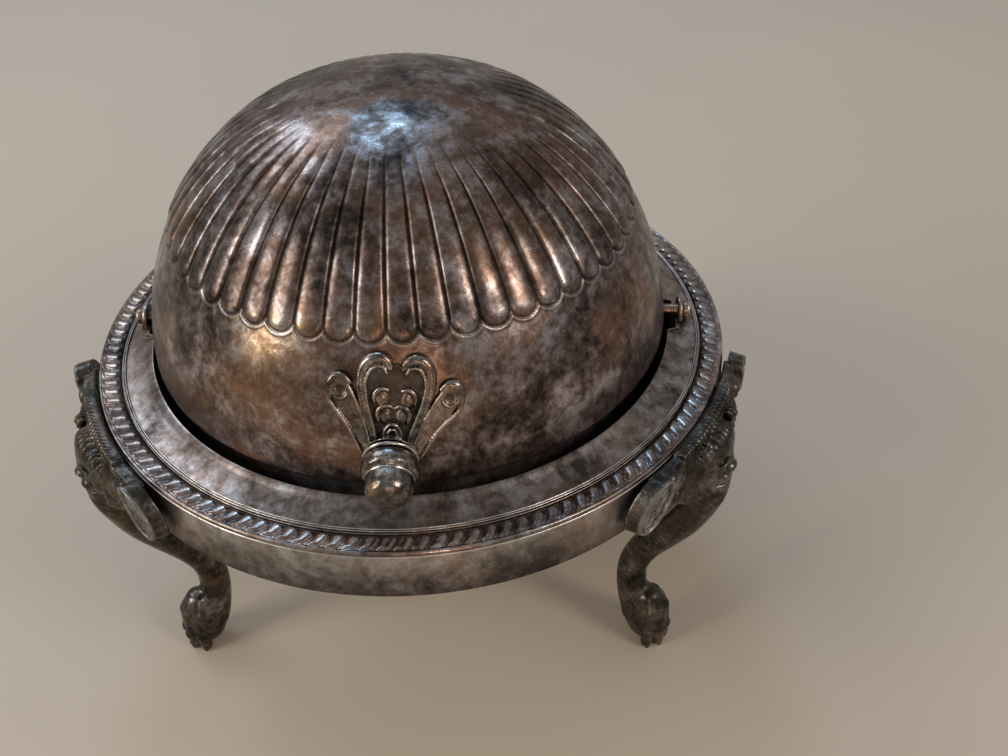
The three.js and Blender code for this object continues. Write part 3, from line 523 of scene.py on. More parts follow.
def meeting(sides, softened):
    """A lump where sides meet, from how far places lie outside each of them, with softened edges."""
    outside = np.sqrt(sum(np.clip(side, 0, None) ** 2 for side in sides))
    return outside + np.minimum(functools.reduce(np.maximum, sides), 0) - softened


def oval(places, radii, least=1e-4):
    """About how far places lie outside an ellipse or an egg."""
    k0 = np.sqrt(sum((place / r) ** 2 for place, r in zip(places, radii)))
    k1 = np.sqrt(sum((place / r ** 2) ** 2 for place, r in zip(places, radii)))
    return k0 * (k0 - 1) / np.maximum(k1, least)


def tapering(places, start, end, start_radius, end_radius):
    """How far places lie outside a straight tapering line with round ends."""
    start, way = np.array(start, float), np.array(end, float) - np.array(start, float)
    away = [place - s for place, s in zip(places, start)]
    t = np.clip(sum(d * w for d, w in zip(away, way)) / float(way @ way), 0, 1)
    radius = start_radius + t * (end_radius - start_radius)
    return np.sqrt(sum((d - t * w) ** 2 for d, w in zip(away, way))) - radius


def other_side(place, side):
    return place[0], side * place[1], place[2]


class Clay:
    """A lump modelled from eggs, rods and slabs. Negative values are inside."""

    def __init__(self, low, high, step):
        self.low, self.step = low, step
        self.shape = tuple(ceil((b - a) / step) + 1 for a, b in zip(low, high))
        self.field = np.full(self.shape, FAR, dtype=np.float32)

    def window(self, low, high, margin=0):
        """The part of the grid round a box, and its coordinates."""
        parts, axes = [], []
        for i in range(3):
            first = max(int((low[i] - margin - self.low[i]) / self.step), 0)
            last = max(min(int((high[i] + margin - self.low[i]) / self.step) + 2, self.shape[i]), first + 1)
            parts.append(slice(first, last))
            axes.append((self.low[i] + self.step * np.arange(first, last)).astype(np.float32))
        return tuple(parts), *np.ix_(*axes)

    def put(self, low, high, distance, blend, cut=False):
        part, x, y, z = self.window(low, high, blend + 0.8)
        found = distance(x, y, z).astype(np.float32)
        here = self.field[part]
        self.field[part] = -smooth_least(-here, found, blend) if cut else smooth_least(here, found, blend)

    def trim(self, low, high, distance):
        """Cut away what lies in the box and where the distance is above zero."""
        part, x, y, z = self.window(low, high)
        self.field[part] = np.maximum(self.field[part], distance(x, y, z))

    def egg(self, centre, radii, blend, turn=0, cut=False):
        """An ellipsoid, turned in the plane across the outward direction, in degrees."""
        c, s = cos(radians(turn)), sin(radians(turn))
        size = (radii[0], max(radii[1:]), max(radii[1:])) if turn else radii

        def distance(x, y, z):
            dx, dy, dz = x - centre[0], y - centre[1], z - centre[2]
            return oval((dx, dy * c + dz * s, dz * c - dy * s), radii)

        self.put(np.subtract(centre, size), np.add(centre, size), distance, blend, cut)

    def rod(self, start, end, start_radius, end_radius, blend, cut=False):
        def distance(*places):
            return tapering(places, start, end, start_radius, end_radius)

        widest = max(start_radius, end_radius)
        self.put(np.minimum(start, end) - widest, np.maximum(start, end) + widest, distance, blend, cut)

    def chain(self, line, blend):
        """Rods through points of (x, y, z, radius)."""
        for (*start, start_radius), (*end, end_radius) in zip(line, line[1:]):
            self.rod(start, end, start_radius, end_radius, blend)

    def slab(self, centre, half, softened, blend):
        def distance(*places):
            return meeting([np.abs(p - c) - h + softened for p, c, h in zip(places, centre, half)], softened)

        self.put(np.subtract(centre, half), np.add(centre, half), distance, blend)

    def eggs(self, centre, radii, blend, turn=0, cut=False):
        """One egg on each side of the middle."""
        for side in BOTH:
            self.egg(other_side(centre, side), radii, blend, side * turn, cut)

    def rods(self, start, end, *rest, **more):
        for side in BOTH:
            self.rod(other_side(start, side), other_side(end, side), *rest, **more)

    def skin(self):
        """Points, faces and a hollow-or-ridge value at each point."""
        corners = np.array(list(itertools.product((0, 1), repeat=3)))
        units = np.eye(3, dtype=int)[:, :, None]
        inside = (self.field < 0).astype(np.int8)
        total = sum(inside[tuple(slice(c, c - 1 or None) for c in corner)] for corner in corners)
        active = (total > 0) & (total < len(corners))
        where = np.array(np.nonzero(active))
        index = np.full(active.shape, -1, dtype=np.int64)
        index[active] = np.arange(where.shape[1])
        # Each point is the mean of the places where its cell's edges cross the surface.
        place = np.zeros(where.shape)
        crossings = np.zeros(where.shape[1])
        for axis in range(3):
            for start in corners[corners[:, axis] == 0][:, :, None]:
                first = self.field[tuple(where + start)].astype(float)
                second = self.field[tuple(where + start + units[axis])].astype(float)
                crossed = (first < 0) != (second < 0)
                share = np.where(crossed, first / np.where(crossed, first - second, 1), 0)
                place += crossed * (start + share * units[axis])
                crossings += crossed
        points = (where + place / crossings).T * self.step + np.array(self.low)
        # Each edge of the grid that crosses the surface joins the points of the four cells round it.
        faces = []
        for axis in range(3):
            along, b, c = units[axis], units[(axis + 1) % 3], units[(axis + 2) % 3]
            core = [slice(1, -1)] * 3
            core[axis] = slice(None)
            change = np.diff(inside[tuple(core)], axis=axis)
            edges = np.nonzero(change)
            ring = [index[tuple(np.array(edges) + 1 - along + db * b + dc * c)]
                    for db, dc in ((-1, -1), (0, -1), (0, 0), (-1, 0))]
            quads, inward = np.stack(ring, axis=1), change[edges] > 0
            quads[inward] = quads[inward][:, ::-1]
            faces += quads.tolist()
        return points, faces, self.softness(points)

    def softness(self, points):
        """The field averaged over a millimetre at each point: above zero on ridges, below in hollows."""
        soft = np.clip(self.field, -1.2, 1.2)
        reach = max(int(0.5 / self.step), 1)
        for axis in (0, 0, 1, 1, 2, 2):
            summed = np.cumsum(soft, axis=axis, dtype=np.float64)
            number = np.arange(soft.shape[axis])
            ahead, behind = (np.take(summed, number + k, axis, mode="clip") for k in (reach, -reach - 1))
            soft = ((ahead - behind) / (2 * reach + 1)).astype(np.float32)
        place = (points - np.array(self.low)) / self.step
        base = np.clip(np.floor(place).astype(int), 0, np.array(self.shape) - 2)
        share = place - base
        total = np.zeros(len(points))
        for corner in itertools.product((0, 1), repeat=3):
            weight = np.prod([share[:, n] if c else 1 - share[:, n] for n, c in enumerate(corner)], axis=0)
            total += weight * soft[tuple((base + corner).T)]
        return total


# Legs, modelled with x outwards from the dish's axis, y along the rim and z up, then bent round the rim
LEG_LOW, LEG_HIGH, LEG_STEP = (60.5, -36.5, -90), (94.4, 36.5, 7.2), 0.31
BEND_RADIUS = 87.0
ROUNDEL_REACH = BEND_RADIUS * radians(18.5)
ROUNDEL_DROP = 5.4
ROUNDEL_TILT = radians(40)
ROUNDEL_RADII = (7.4, 4.3)
FLOOR = -89.0
BACK_FOOT = -13.6


def lion_face(clay):
    clay.egg((86.3, 0, -9.4), (5.2, 7.6, 8.8), 0.8)
    clay.egg((88, 0, -5), (3, 5.8, 3.9), 1.2)
    clay.rods((89.9, 1.1, -6.6), (88.2, 5.6, -5), 1.3, 0.95, 0.5)
    clay.eggs((90.3, 2.95, -8.4), (1.5, 1.9, 1.3), 0.4, cut=True)
    clay.eggs((89.3, 2.95, -8.4), (1.2, 1.4, 1), 0.12)
    clay.rods((90, 1.7, -9.8), (88.6, 4.9, -9.8), 0.5, 0.35, 0.3)
    clay.rod((89.7, 0, -6), (91, 0, -10.8), 1.5, 1.3, 0.8)
    clay.egg((91.6, 0, -11.4), (1.45, 2.1, 1.15), 0.45)
    clay.eggs((92.9, 0.95, -11.9), (0.6, 0.42, 0.45), 0.2, cut=True)
    clay.eggs((90.3, 2.2, -13.8), (2.2, 2.3, 1.8), 0.5)
    clay.rod((92.5, 0, -12.9), (92, 0, -14.9), 0.3, 0.3, 0.25, cut=True)
    clay.rods((92.2, 0, -15.6), (90.3, 4.3, -16), 0.5, 0.45, 0.3, cut=True)
    clay.egg((89.2, 0, -17), (2, 2.6, 1.6), 0.4)
    clay.eggs((87.8, 5.5, -12.4), (2.5, 2.5, 3.6), 0.9)
    clay.eggs((87.9, 8.2, -3.2), (1.8, 1.8, 2.1), 0.4, turn=25)
    clay.eggs((89.6, 8.5, -3.4), (1, 1, 1.3), 0.25, turn=25, cut=True)


def mane(clay):
    """Locks swept back from the face and down, then two curls beside each roundel."""
    clay.eggs((85, 11, -7.4), (3.5, 6.4, 7), 0.8)
    for lock in range(6):
        share = lock / 5
        start = -2.2 - 12.0 * share
        middle, end = start - 1.9 + 0.9 * share, start - 2.6 + 2.6 * share
        for side in BOTH:
            clay.chain([(87.7, side * 6.8, start, 1.1), (87.5, side * 10.4, middle, 1.4),
                        (86.6, side * 13.6, end, 1.2), (85.6, side * 16.4, end + 0.9, 0.6)], 0.25)
    for across, up, size in ((18.9, -4, 1), (18.2, -9.6, 0.85)):
        clay.eggs((86.4, across, up), (1.8 * size, 2.4 * size, 2.6 * size), 0.35)
        clay.eggs((88.2, across + 0.2, up), (0.8 * size, 1.5 * size, 1.7 * size), 0.2, cut=True)
        clay.eggs((87.4, across + 0.3, up), (0.8 * size, 0.75 * size, 0.8 * size), 0.12)
    clay.rods((86.2, 20.6, -2.4), (86.3, 24, -4.4), 1.3, 1.1, 0.4)
    for lock in range(3):
        across = 1.2 + lock * 2.3
        clay.rods((87.6 - lock * 0.7, across, -18.2 + lock * 0.6), (86.6, across * 0.62, -23.6 + lock * 0.9),
                  1.3, 0.6, 0.3)


def around_roundel(y, z, side, inset=0):
    """How far each place lies outside a roundel's oval, and its place along and across it."""
    c, s = cos(ROUNDEL_TILT), sin(ROUNDEL_TILT)
    dy, dz = y - side * ROUNDEL_REACH, z + ROUNDEL_DROP
    along, across = dz * c - side * dy * s, dy * c + side * dz * s
    return oval((along, across), [radius - inset for radius in ROUNDEL_RADII], 1e-3), along, across


def roundel(clay, side):
    """An oval drum whose sunk face has a rough ground and low petals."""
    def drum(x, y, z):
        return meeting((around_roundel(y, z, side, 0.3)[0], np.abs(x - 86.35) - 1.9), 0.25)

    def hollow(x, y, z):
        edge, along, across = around_roundel(y, z, side, 0.85)
        rough = 0.1 * np.sin(along * 3.1 + across * 1.3) * np.sin(across * 2.7 - along * 0.9)
        petals = 0.4 * np.abs(np.cos(np.arctan2(across * 1.7, along) * 3.5))
        return np.maximum(edge, 87.7 + rough + petals * np.exp(-(edge + 1.9) ** 2 / 1.5) - x)

    low, high = (84.2, side * ROUNDEL_REACH - 8, -13.8), (88.7, side * ROUNDEL_REACH + 8, 3)
    clay.put(low, high, drum, 0.2)
    clay.put(low, high, hollow, 0.12, cut=True)


def shank(clay):
    """The curved shank from the bracket down to the ankle and heel, along points of (out, up, radius)."""
    line = smooth_line([
        (87.2, -11, 4.2), (87.2, -17, 4.5), (85.9, -24, 4.8), (82.4, -33, 4.8), (78.9, -39.4, 4.6),
        (75.5, -45.1, 4.25), (72.2, -50.6, 3.95), (69.8, -55.6, 3.8), (68.3, -61, 3.8), (68.2, -66.5, 3.95),
        (69, -72.5, 4.1), (70.6, -79, 4.2)], 4)
    for (x0, z0, r0), (x1, z1, r1) in zip(line, line[1:]):
        def distance(x, y, z):
            narrow = np.interp(z, [-80, -60, -42, -24, -12], [1.06, 1.12, 1.16, 0.98, 0.78]).astype(np.float32)
            dx, dz, ax, az = x - x0, z - z0, x1 - x0, z1 - z0
            t = np.clip((dx * ax + dz * az) / (ax * ax + az * az), 0, 1)
            return np.sqrt((dx - t * ax) ** 2 + (y * narrow) ** 2 + (dz - t * az) ** 2) - (r0 + t * (r1 - r0))
        clay.put((min(x0, x1) - 5, -6.8, min(z0, z1) - 5), (max(x0, x1) + 5, 6.8, max(z0, z1) + 5), distance, 0.9)


def paw(clay):
    clay.egg((73.6, 0, -78.6), (6.3, 5.5, 10.4), 1.8)
    for angle in (-56, -19, 19, 56):
        out, side = cos(radians(angle)), sin(radians(angle))

        def at(reach, z):
            return 72.9 + out * reach, side * reach * 0.84, z

        clay.rod(at(2.8, -70.6), at(5, -74.6), 1.5, 1.9, 1)
        clay.rod(at(5, -74.6), at(5.5, -79.6), 1.9, 1.9, 0.5)
        clay.egg(at(5.9, -82.4), (2.1, 1.95, 2.5), 0.3)
        clay.rod(at(5.8, -84), at(5.4, -87.2), 1.8, 1.7, 0.25)
        clay.rod(at(6.9, -86), at(6.7, -88.4), 0.7, 0.5, 0.2)
    for angle in (-37, 0, 37):
        out, side = cos(radians(angle)), sin(radians(angle))
        top, foot = (72.9 + out * 7.9, side * 6.6, -74), (72.9 + out * 7.8, side * 6.5, -88.5)
        clay.rod(top, foot, 0.6, 0.9, 0.4, cut=True)
    clay.rod((67.2, 0, -70.5), (68.4, 0, -80.5), 2.3, 1.6, 0.8)
    clay.rods((68.2, 2.2, -71), (68.8, 2.8, -79.5), 1.8, 1.3, 0.6)


def strands(clay):
    """Strands out over the top of the head, and slanting down and outwards over the mane."""
    part, x, y, z = clay.window((84.4, -17.5, -24.5), (92.5, 17.5, 3.5))
    reach = np.abs(y)
    slant = reach + 0.55 * np.minimum(z + 4, 0) + 0.06 * np.maximum(reach - 9, 0) ** 2
    strand = np.abs(np.sin(slant * pi / 1.45)) - 0.6
    crown = ease(z + 5.6, 1.4) * ease(90.6 - x, 1) * ease(10.5 - reach, 1.5)
    flank = ease(reach - 7.2, 1.2) * ease(17.2 - reach, 1.2) * ease(z + 17.5, 1.5)
    beard = ease(-18.6 - z, 1) * (reach < 6.5)
    depth = 0.42 * np.clip(np.maximum(crown, flank), 0, 1) + 0.3 * beard
    clay.field[part] -= (strand * depth * (x > 84.6)).astype(np.float32)


def behind_leg(x, y, z):
    """Above zero where a leg would reach the skirt or hang behind its foot."""
    skirt = RIM_RADIUS + (SKIRT_RADIUS - RIM_RADIUS) * np.clip((-z - 0.8) / 12.3, 0, 1)
    back = skirt + 0.22 - x
    return np.where(z < BACK_FOOT, back - (BACK_FOOT - z), back)


def leg_clay():
    clay = Clay(LEG_LOW, LEG_HIGH, LEG_STEP)
    clay.slab((84.6, 0, -7), (1.9, 25, 6.6), 0.8, 0.4)
    clay.slab((84.4, 0, -4), (1.7, 15, 4.6), 0.8, 0.4)
    for model in (shank, paw, lion_face, mane, strands):
        model(clay)
    for side in BOTH:
        roundel(clay, side)
    clay.trim((*LEG_LOW[:2], -15.5), LEG_HIGH, behind_leg)
    clay.trim(LEG_LOW, (*LEG_HIGH[:2], -88), lambda x, y, z: FLOOR + 0.02 - z)
    return clay


def leg_pieces():
    flat, faces, softness = leg_clay().skin()
    out, along, up = flat.T
    angle = along / BEND_RADIUS
    bent = xyz(out - BEND_RADIUS * (1 - np.cos(angle)), BEND_RADIUS * np.sin(angle),
               np.where(up < FLOOR + 0.4, FLOOR, up))
    wear_and_sheen = np.clip((softness - 0.13) / 0.22, 0, 1)
    for side in BOTH:
        edge = around_roundel(along, up, side)[0]
        wear_and_sheen = np.maximum(wear_and_sheen, 0.55 * (edge < 0.1) * ease(out - 87.5, 0.4))
    dirt_and_shade = np.clip((-softness - 0.01) / 0.22, 0, 1)
    for label, turn in LEG_ANGLES.items():
        add_piece(f"lion_leg_{label}", f"leg_{label}", CAST_METAL, turn_about_z(bent, radians(turn - 90)), faces,
                  wear_and_sheen, dirt_and_shade)


# Handle: a cast palmette wrapped on the cover, then a ring and a turned knob
HANDLE_TURN = radians(0.95)
HANDLE_LATITUDE = radians(10.3)
HANDLE_LEAN = radians(7)
HANDLE_DROOP = radians(12)
HANDLE_STAND_OFF = 2.2
PALMETTE_LOW, PALMETTE_HIGH, PALMETTE_STEP = (-0.1, -16.5, -8.5), (4.6, 16.5, 24.5), 0.19
PALMETTE_FLOOR = 0.5


def on_cover(height, across, up):
    """Places over the cover, from heights above it and lengths along the palmette's own axes."""
    right = across * cos(HANDLE_LEAN) + up * sin(HANDLE_LEAN)
    rise = up * cos(HANDLE_LEAN) - across * sin(HANDLE_LEAN)
    latitude = HANDLE_LATITUDE + rise / COVER_RADIUS
    around = HANDLE_TURN + right / (COVER_RADIUS * np.cos(latitude))
    radius = COVER_RADIUS + height
    return xyz(radius * np.cos(latitude) * np.sin(around), -radius * np.cos(latitude) * np.cos(around),
               radius * np.sin(latitude) + PIVOT_RISE)


def strip(clay, start, end, start_radius, end_radius, top, bottom=-1):
    """A flat tapering strip with round ends, lying on the cover up to a height."""
    def distance(x, y, z):
        flat = tapering((y, z), start, end, start_radius, end_radius) + 0.3
        return meeting((flat, np.maximum(x - top, bottom - x) + 0.3), 0.3)

    widest = max(start_radius, end_radius)
    clay.put((bottom, *np.minimum(start, end) - widest), (top, *np.maximum(start, end) + widest), distance, 0.3)


def raised(clay, side, height, line, blend=0.15):
    """A raised round line that curves through points of (across, up, radius)."""
    line = smooth_line([(side * across, up, radius) for across, up, radius in line])
    clay.chain([(height, *point) for point in line], blend)


# Lines of the inner and the outer lobe on the right: height, points of (across, up, radius) and blend
LOBES = [
    (0.75, [(4, 0.5, 0.5), (4.3, 3.8, 0.6), (5.4, 7.6, 0.75), (6.7, 11.4, 0.9), (7.4, 15.4, 1), (7, 18.4, 1.1),
            (5.4, 20.4, 1.25), (3.4, 20.9, 1.2), (1.9, 20, 0.95), (1.4, 18.8, 0.6)], 0.15),
    (1.35, [(3.1, 1.5, 0.26), (3.6, 4.2, 0.3), (4.6, 7.6, 0.32), (5.7, 11.3, 0.34), (6.25, 15, 0.34),
            (5.7, 17.7, 0.34), (4.2, 19.2, 0.34), (2.7, 19, 0.32), (2, 17.9, 0.28)], 0.1),
    (0.85, [(13.7, 9.8, 0.45), (14.1, 12, 0.65), (13.9, 13.9, 0.85), (12.7, 15.5, 1), (11, 15.7, 0.9),
            (9.6, 14.7, 0.6)], 0.15),
    (0.95, [(13.6, 9.8, 0.4), (11.5, 7.4, 0.4), (9.4, 4.8, 0.4), (7.6, 1.6, 0.42), (6.4, -0.8, 0.45)], 0.15),
    (1.2, [(13.2, 11.6, 0.28), (13.1, 13.3, 0.3), (11.9, 14.6, 0.3), (10.2, 14.4, 0.3), (8.7, 12.4, 0.34),
           (7.3, 9.4, 0.36), (5.8, 6, 0.36), (4.6, 2.4, 0.36)], 0.1)]


def boss(x, y, z):
    """The boss that carries the ring, square to the knob's line and narrower towards the cover."""
    tilt = HANDLE_LATITUDE + HANDLE_DROOP
    along = (x - HANDLE_STAND_OFF) * cos(tilt) - z * sin(tilt)
    away = np.sqrt(np.clip((x - HANDLE_STAND_OFF) ** 2 + y ** 2 + z ** 2 - along ** 2, 0, None))
    return np.maximum((away - 5.5 - 1.2 * along) * 0.64, along - 0.05)


def palmette_clay():
    clay = Clay(PALMETTE_LOW, PALMETTE_HIGH, PALMETTE_STEP)
    strip(clay, (0, 0), (0, 18.2), 2.4, 1.7, PALMETTE_FLOOR)
    for side in BOTH:
        strip(clay, (side * 1.4, 1), (side * 3.7, 16.4), 2.4, 3.1, PALMETTE_FLOOR)
        strip(clay, (side * 5.4, 0.6), (side * 11.4, 12.6), 1.5, 2.6, 0.85)
        for line in LOBES:
            raised(clay, side, *line)
        # A sunk eye in the outer lobe's head, then crescents over small leaves
        clay.egg((1.1, side * 11.5, 12.9), (0.6, 1.25, 1.25), 0.2, cut=True)
        raised(clay, side, 0.95, [(9.9, 12.2, 0.2), (10.6, 11.3, 0.3), (11.8, 10.9, 0.34), (12.9, 11.5, 0.24)])
        clay.egg((PALMETTE_FLOOR, side * 2.7, 12), (0.55, 1.3, 1.9), 0.2)
        raised(clay, side, 0.85, [
            (4.2, 11.2, 0.25), (4.4, 12.5, 0.48), (3.8, 13.7, 0.6), (2.7, 14.4, 0.55), (1.4, 14.1, 0.3)])
        clay.egg((PALMETTE_FLOOR, side * 1.7, 8.3), (0.6, 1.2, 1.9), 0.2)
        raised(clay, side, 0.95, [
            (3, 7, 0.28), (3.4, 8.9, 0.58), (2.6, 10.3, 0.62), (1.3, 10.8, 0.52), (0.25, 10.3, 0.3)])
    # The arched bud in the middle, the egg at the foot and the boss
    for height, half in ((1, [(1.8, 2.6, 0.35), (1.65, 4.9, 0.42), (0.8, 6.3, 0.46), (0, 6.6, 0.46)]),
                         (1.15, [(0.95, 2.8, 0.24), (0.8, 4.7, 0.28), (0, 5.5, 0.3)])):
        raised(clay, 1, height, [(-across, up, radius) for across, up, radius in half[:-1]] + half[::-1])
    clay.egg((0.5, 0, -0.6), (2.7, 5.2, 3.4), 0.5)
    clay.put((-0.1, -6, -6.5), (4.6, 6, 6.5), boss, 0.5)
    clay.trim(PALMETTE_LOW, PALMETTE_HIGH, lambda x, y, z: 0.12 - x)
    return clay


def palmette_piece():
    flat, faces, softness = palmette_clay().skin()
    height, across, up = flat.T
    sunk = 0.7 * ease(0.95 - height, 0.4) * (up > 2)
    add_piece("palmette", "handle_palmette", HANDLE_SILVER, on_cover(height, across, up), faces,
              np.clip((softness - 0.1) / 0.25, 0, 1), np.maximum(np.clip(-softness / 0.2, 0, 1), sunk))


def along_handle(points):
    """From points turned about Z to the knob's line, which leaves the cover and droops."""
    tilt = pi / 2 + HANDLE_DROOP
    reach = COVER_RADIUS + HANDLE_STAND_OFF
    x, y, z = points.T
    return turn_about_z(xyz(
        x, y * cos(tilt) - z * sin(tilt) - reach * cos(HANDLE_LATITUDE),
        y * sin(tilt) + z * cos(tilt) + reach * sin(HANDLE_LATITUDE) + PIVOT_RISE), HANDLE_TURN)


def handle_parts():
    ring = [(2, 0.35), (5.3, 0.35), (5.9, 0.5), (6.25, 0.93), (5.9, 1.36), (5.3, 1.5), (2, 1.5)]
    turned_part("handle_ring", "handle_collar", HANDLE_SILVER, ring, along_handle, 96,
                lambda p: ease(np.hypot(p[:, 0], p[:, 1]) - 5.7, 0.4) * 0.8, soft=0.3)
    # A short barrel on its stud, a thin rubbed rim, and the knob with its domed end, which carries a painted dark
    # reflection
    knob = [
        (0, -7), (1.5, -7), (1.5, 1.75), (5.3, 1.75), (6.05, 2), (6.3, 3.1), (6.3, 4.3), (6, 5.2), (5.1, 5.75),
        (5.2, 6), (5.45, 6.2), (5.2, 6.5), (5.22, 7.3), (5.22, 8.5), (4.98, 9.6), (4.4, 10.7), (3.4, 11.55),
        (2, 12.1), (0.9, 12.28), (0, 12.3)]
    turned_part("knob", "handle_knob", HANDLE_SILVER, knob, along_handle, 96,
                lambda p: ease(p[:, 2] - 5.9, 0.2) * ease(6.55 - p[:, 2], 0.2) * 0.8,
                grows_along(10.6, 1.2, 0.6), soft=0.3)
    nut = [(1.8, -7), (2.7, -7), (2.8, -6.6), (2.8, -5.2), (2.7, -4.8), (1.8, -4.8)]
    turned_part("knob_nut", "handle_nut", HANDLE_BRASS, nut, along_handle, 6, soft=0.2, steps=2)


# Bowl, liner and lower body
BOWL_RADIUS = 62.0
BOWL_INNER = 61.0
BOWL_SHOULDER = -0.7
LINER_LOW, LINER_HIGH = 7.6, 9.6
BODY_INNER = 71.0
BODY_OUTER = 72.0
BODY_LIP = 74.3


def curved_wall(radius, top, floor_radius, depth, steps=28, fullness=0.62):
    """A wall that falls steeply from its top and curves in to a flat floor."""
    corners = np.array([(radius, top), (radius, top - (top + depth) * fullness),
                        (floor_radius + (radius - floor_radius) * fullness, -depth), (floor_radius, -depth)])
    t = np.arange(steps + 1)[:, None] / steps
    weights = ((1 - t) ** 3, 3 * t * (1 - t) ** 2, 3 * t * t * (1 - t), t ** 3)
    return sum(w * c for w, c in zip(weights, corners)).tolist()


def bowl_parts():
    outside = curved_wall(BOWL_RADIUS, BOWL_SHOULDER, 24, 47)[::-1]
    inside = curved_wall(BOWL_INNER, BOWL_SHOULDER, 24, 46)
    lip = [(62, 6.2), (62.6, 6.25), (62.9, 6.6), (62.7, 7.1), (62.1, 7.3), (61.4, 7.3), (61.05, 7.1), (61, 6.6)]
    turned_part("bowl", "bowl", BOWL_SILVER, [(0, -47)] + outside + lip + inside + [(0, -46)], upright, 192,
                grows_along(6.4, 0.5, 0.5))
    flange = [(61.7, LINER_LOW), (62, LINER_LOW + 0.4), (62, LINER_HIGH - 0.4), (61.7, LINER_HIGH),
              (55.4, LINER_HIGH)]
    glass = curved_wall(56.8, LINER_LOW, 22, 33)[::-1] + flange + curved_wall(54.8, LINER_HIGH - 0.4, 22, 31)
    turned_part("liner", "glass_liner", LINER_GLASS, [(0, -33)] + glass + [(0, -31)], upright, 144)


def lower_body_part():
    """The half ball that the cover rolls down into, with its lip under the flange."""
    foot = BEAD_RADIUS - SHEET
    slope = FLANGE_RISE / (foot - OPENING_RADIUS)

    def lip_top(radius):
        return slope * (foot - radius) - SHEET - SEAT_GAP

    def ball(radius, top, steps=40):
        end = acos((PIVOT_RISE - top) / radius)
        return [(radius * sin(end * k / steps), PIVOT_RISE - radius * cos(end * k / steps))
                for k in range(1, steps + 1)]

    profile = [(0, PIVOT_RISE - BODY_OUTER), *ball(BODY_OUTER, lip_top(BODY_OUTER) - 1),
               (BODY_LIP, lip_top(BODY_LIP) - 0.9), (BODY_LIP, lip_top(BODY_LIP)),
               *ball(BODY_INNER, lip_top(BODY_INNER))[::-1], (0, PIVOT_RISE - BODY_INNER)]
    turned_part("round_body", "lower_body", BODY_PLATE, profile, upright, 192)


# Pivots and screws
LUG_INNER = 70.7
LUG_RADIUS = 3.6
LUG_FOOT = 1.35
HOLE_RADIUS = 1.8
LEG_SCREW_DROP = 8.0


def lug_piece(label, side, steps=48):
    """An upright ear with a round top and a bore, with softened edges."""
    angles = np.arange(steps) * 2 * pi / steps
    outline = []
    for a in angles:
        reach = LUG_RADIUS
        if sin(a) < 0:
            reach = min((LUG_FOOT - PIVOT_RISE) / min(sin(a), -1e-3), LUG_RADIUS / max(abs(cos(a)), 1e-3))
        outline.append((reach * cos(a), reach * sin(a)))
    outline = np.array(outline)
    bore = np.stack([HOLE_RADIUS * np.cos(angles), np.clip(HOLE_RADIUS * np.sin(angles), -1.62, None)], axis=1)
    rings = ((bore, 1, 0.1), (outline, 0.93, 0), (outline, 1, 0.2),
             (outline, 1, 1), (outline, 0.93, 1.2), (bore, 1, 1.1))
    points = np.concatenate([xyz(side * (LUG_INNER + out), ring[:, 0] * share, ring[:, 1] * share + PIVOT_RISE)
                             for ring, share, out in rings])
    points[:, 2] = np.maximum(points[:, 2], LUG_FOOT)
    add_piece(f"pivot_ear_{label}", f"pivot_lug_{label}", RIM_PLATE, points, grid_faces(len(rings), steps, True), 0.3)


def pivot_parts():
    screw = [(0, 58.5), (1.5, 58.5), (1.5, 72.2), (2.2, 72.2), (2.2, 73.6), (1.9, 74.1), (1.2, 74.35), (0, 74.4)]
    spacer = [(1.8, 62.3), (2.8, 62.3), (2.8, 65.3), (1.8, 65.3)]
    nut = [(1.8, 58.6), (2.5, 58.6), (2.8, 58.9), (2.8, 60.4), (2.5, 60.7), (1.8, 60.7)]
    for label, side in (("left", -1), ("right", 1)):
        lug_piece(label, side)
        place = functools.partial(along_x, side=side)
        turned_part(f"pivot_pin_{label}", f"pivot_screw_{label}", PIVOT_BRASS, screw, place, 48,
                    grows_along(73.2, 0.6, 0.8), soft=0.25, steps=3)
        turned_part(f"pivot_washer_{label}", f"pivot_spacer_{label}", PIVOT_BRASS, spacer, place, 40, soft=0.25,
                    steps=3)
        turned_part(f"pivot_nut_{label}_hex", f"pivot_nut_{label}", PIVOT_BRASS, nut, place, 6, soft=0.15, steps=2)


def leg_screws():
    screw = [(0, 78.9), (1.8, 78.9), (2.5, 79.3), (2.7, 80), (2.7, 80.7), (1.5, 80.7), (1.5, 86.2), (0, 86.2)]
    for label, turn in LEG_ANGLES.items():
        for number, offset in ((1, -8), (2, 8)):
            def place(points, around=radians(turn - 90 + offset)):
                return turn_about_z(along_x(points, height=-LEG_SCREW_DROP), around)

            turned_part(f"bracket_screw_{label}_{number}", f"leg_screw_{label}_{number}", PIVOT_BRASS, screw,
                        place, 32, soft=0.3, steps=3)


for make in (cover_piece, rim_piece, border_piece, bead_piece, leg_pieces, palmette_piece, handle_parts, bowl_parts,
             lower_body_part, pivot_parts, leg_screws):
    make()

# Camera: fitted to the rim's ellipses, the dome and the legs, as a 36 mm frame
IMAGE_WIDTH = 1008
FOCAL_PIXELS = 1100.0
CAMERA_PLACE = Vector((0.3638, -2.8808, 2.1609)) * RIM_RADIUS * MM + Vector((0, AXIS_Y, RIM_TOP))
CAMERA_FORWARD = Vector((-0.0192, 0.7675, -0.6408))
CAMERA_UP = Vector((0.0119, 0.6410, 0.7674))

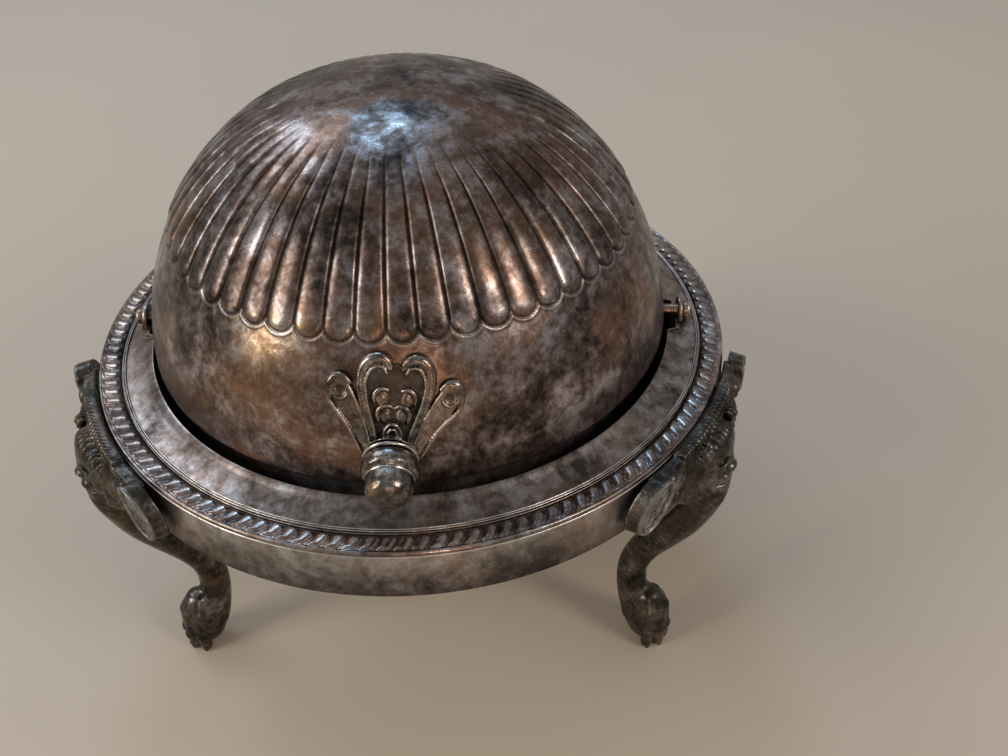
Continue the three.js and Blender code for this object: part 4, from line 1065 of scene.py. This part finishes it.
# Lamps: name, place, size, power and colour, all turned towards the dish's middle
LAMPS = [
    ("window", (-0.133, 0.565, 1.1), (0.28, 0.13), 2.1, (0.36, 0.66, 1)),
    ("back_left", (-0.9, 0.7, 1.2), (0.8, 0.6), 4.6, (0.78, 0.88, 1)),
    ("left_soft", (-1.1, -0.5, 0.8), (0.5, 0.7), 6, (1, 0.97, 0.92)),
    ("right_soft", (1, -0.7, 0.9), (0.35, 0.5), 5, (1, 0.9, 0.8)),
    ("front_warm", (0.2, -1.3, 0.38), (0.2, 0.15), 1, (1, 0.66, 0.42)),
    ("left_warm", (-0.95, -0.6, 0.34), (0.14, 0.1), 1.2, (1, 0.86, 0.5))]
LIT_PLACE = Vector((0, 0, 0.08))


def add_camera(scene):
    data = bpy.data.cameras.new("camera")
    data.sensor_width = 36
    data.lens = FOCAL_PIXELS * data.sensor_width / IMAGE_WIDTH
    data.clip_start = 0.01
    camera = bpy.data.objects.new("camera", data)
    forward = CAMERA_FORWARD.normalized()
    right = forward.cross(CAMERA_UP).normalized()
    turn = Matrix((right, right.cross(forward), -forward)).transposed().to_4x4()
    camera.matrix_world = Matrix.Translation(CAMERA_PLACE) @ turn
    scene.collection.objects.link(camera)
    scene.camera = camera


def add_surroundings(scene):
    bpy.ops.mesh.primitive_plane_add(size=6, location=(0, 0, 0))
    floor = bpy.context.object
    floor.name = "floor"
    floor.data.materials.append(MATERIALS["floor"])
    world = bpy.data.worlds.new("studio")
    scene.world = world
    world.use_nodes = True
    background = world.node_tree.nodes["Background"]
    background.inputs["Color"].default_value = (0.80, 0.78, 0.76, 1)
    background.inputs["Strength"].default_value = 0.42
    for name, place, size, power, colour in LAMPS:
        data = bpy.data.lights.new(name, "AREA")
        data.shape = "RECTANGLE"
        data.size, data.size_y = size
        data.energy, data.color = power, colour
        lamp = bpy.data.objects.new(name, data)
        lamp.location = place
        lamp.rotation_euler = (LIT_PLACE - Vector(place)).to_track_quat("-Z", "Y").to_euler()
        scene.collection.objects.link(lamp)


add_camera(bpy.context.scene)
add_surroundings(bpy.context.scene)
bpy.context.scene.view_settings.view_transform = "Standard"
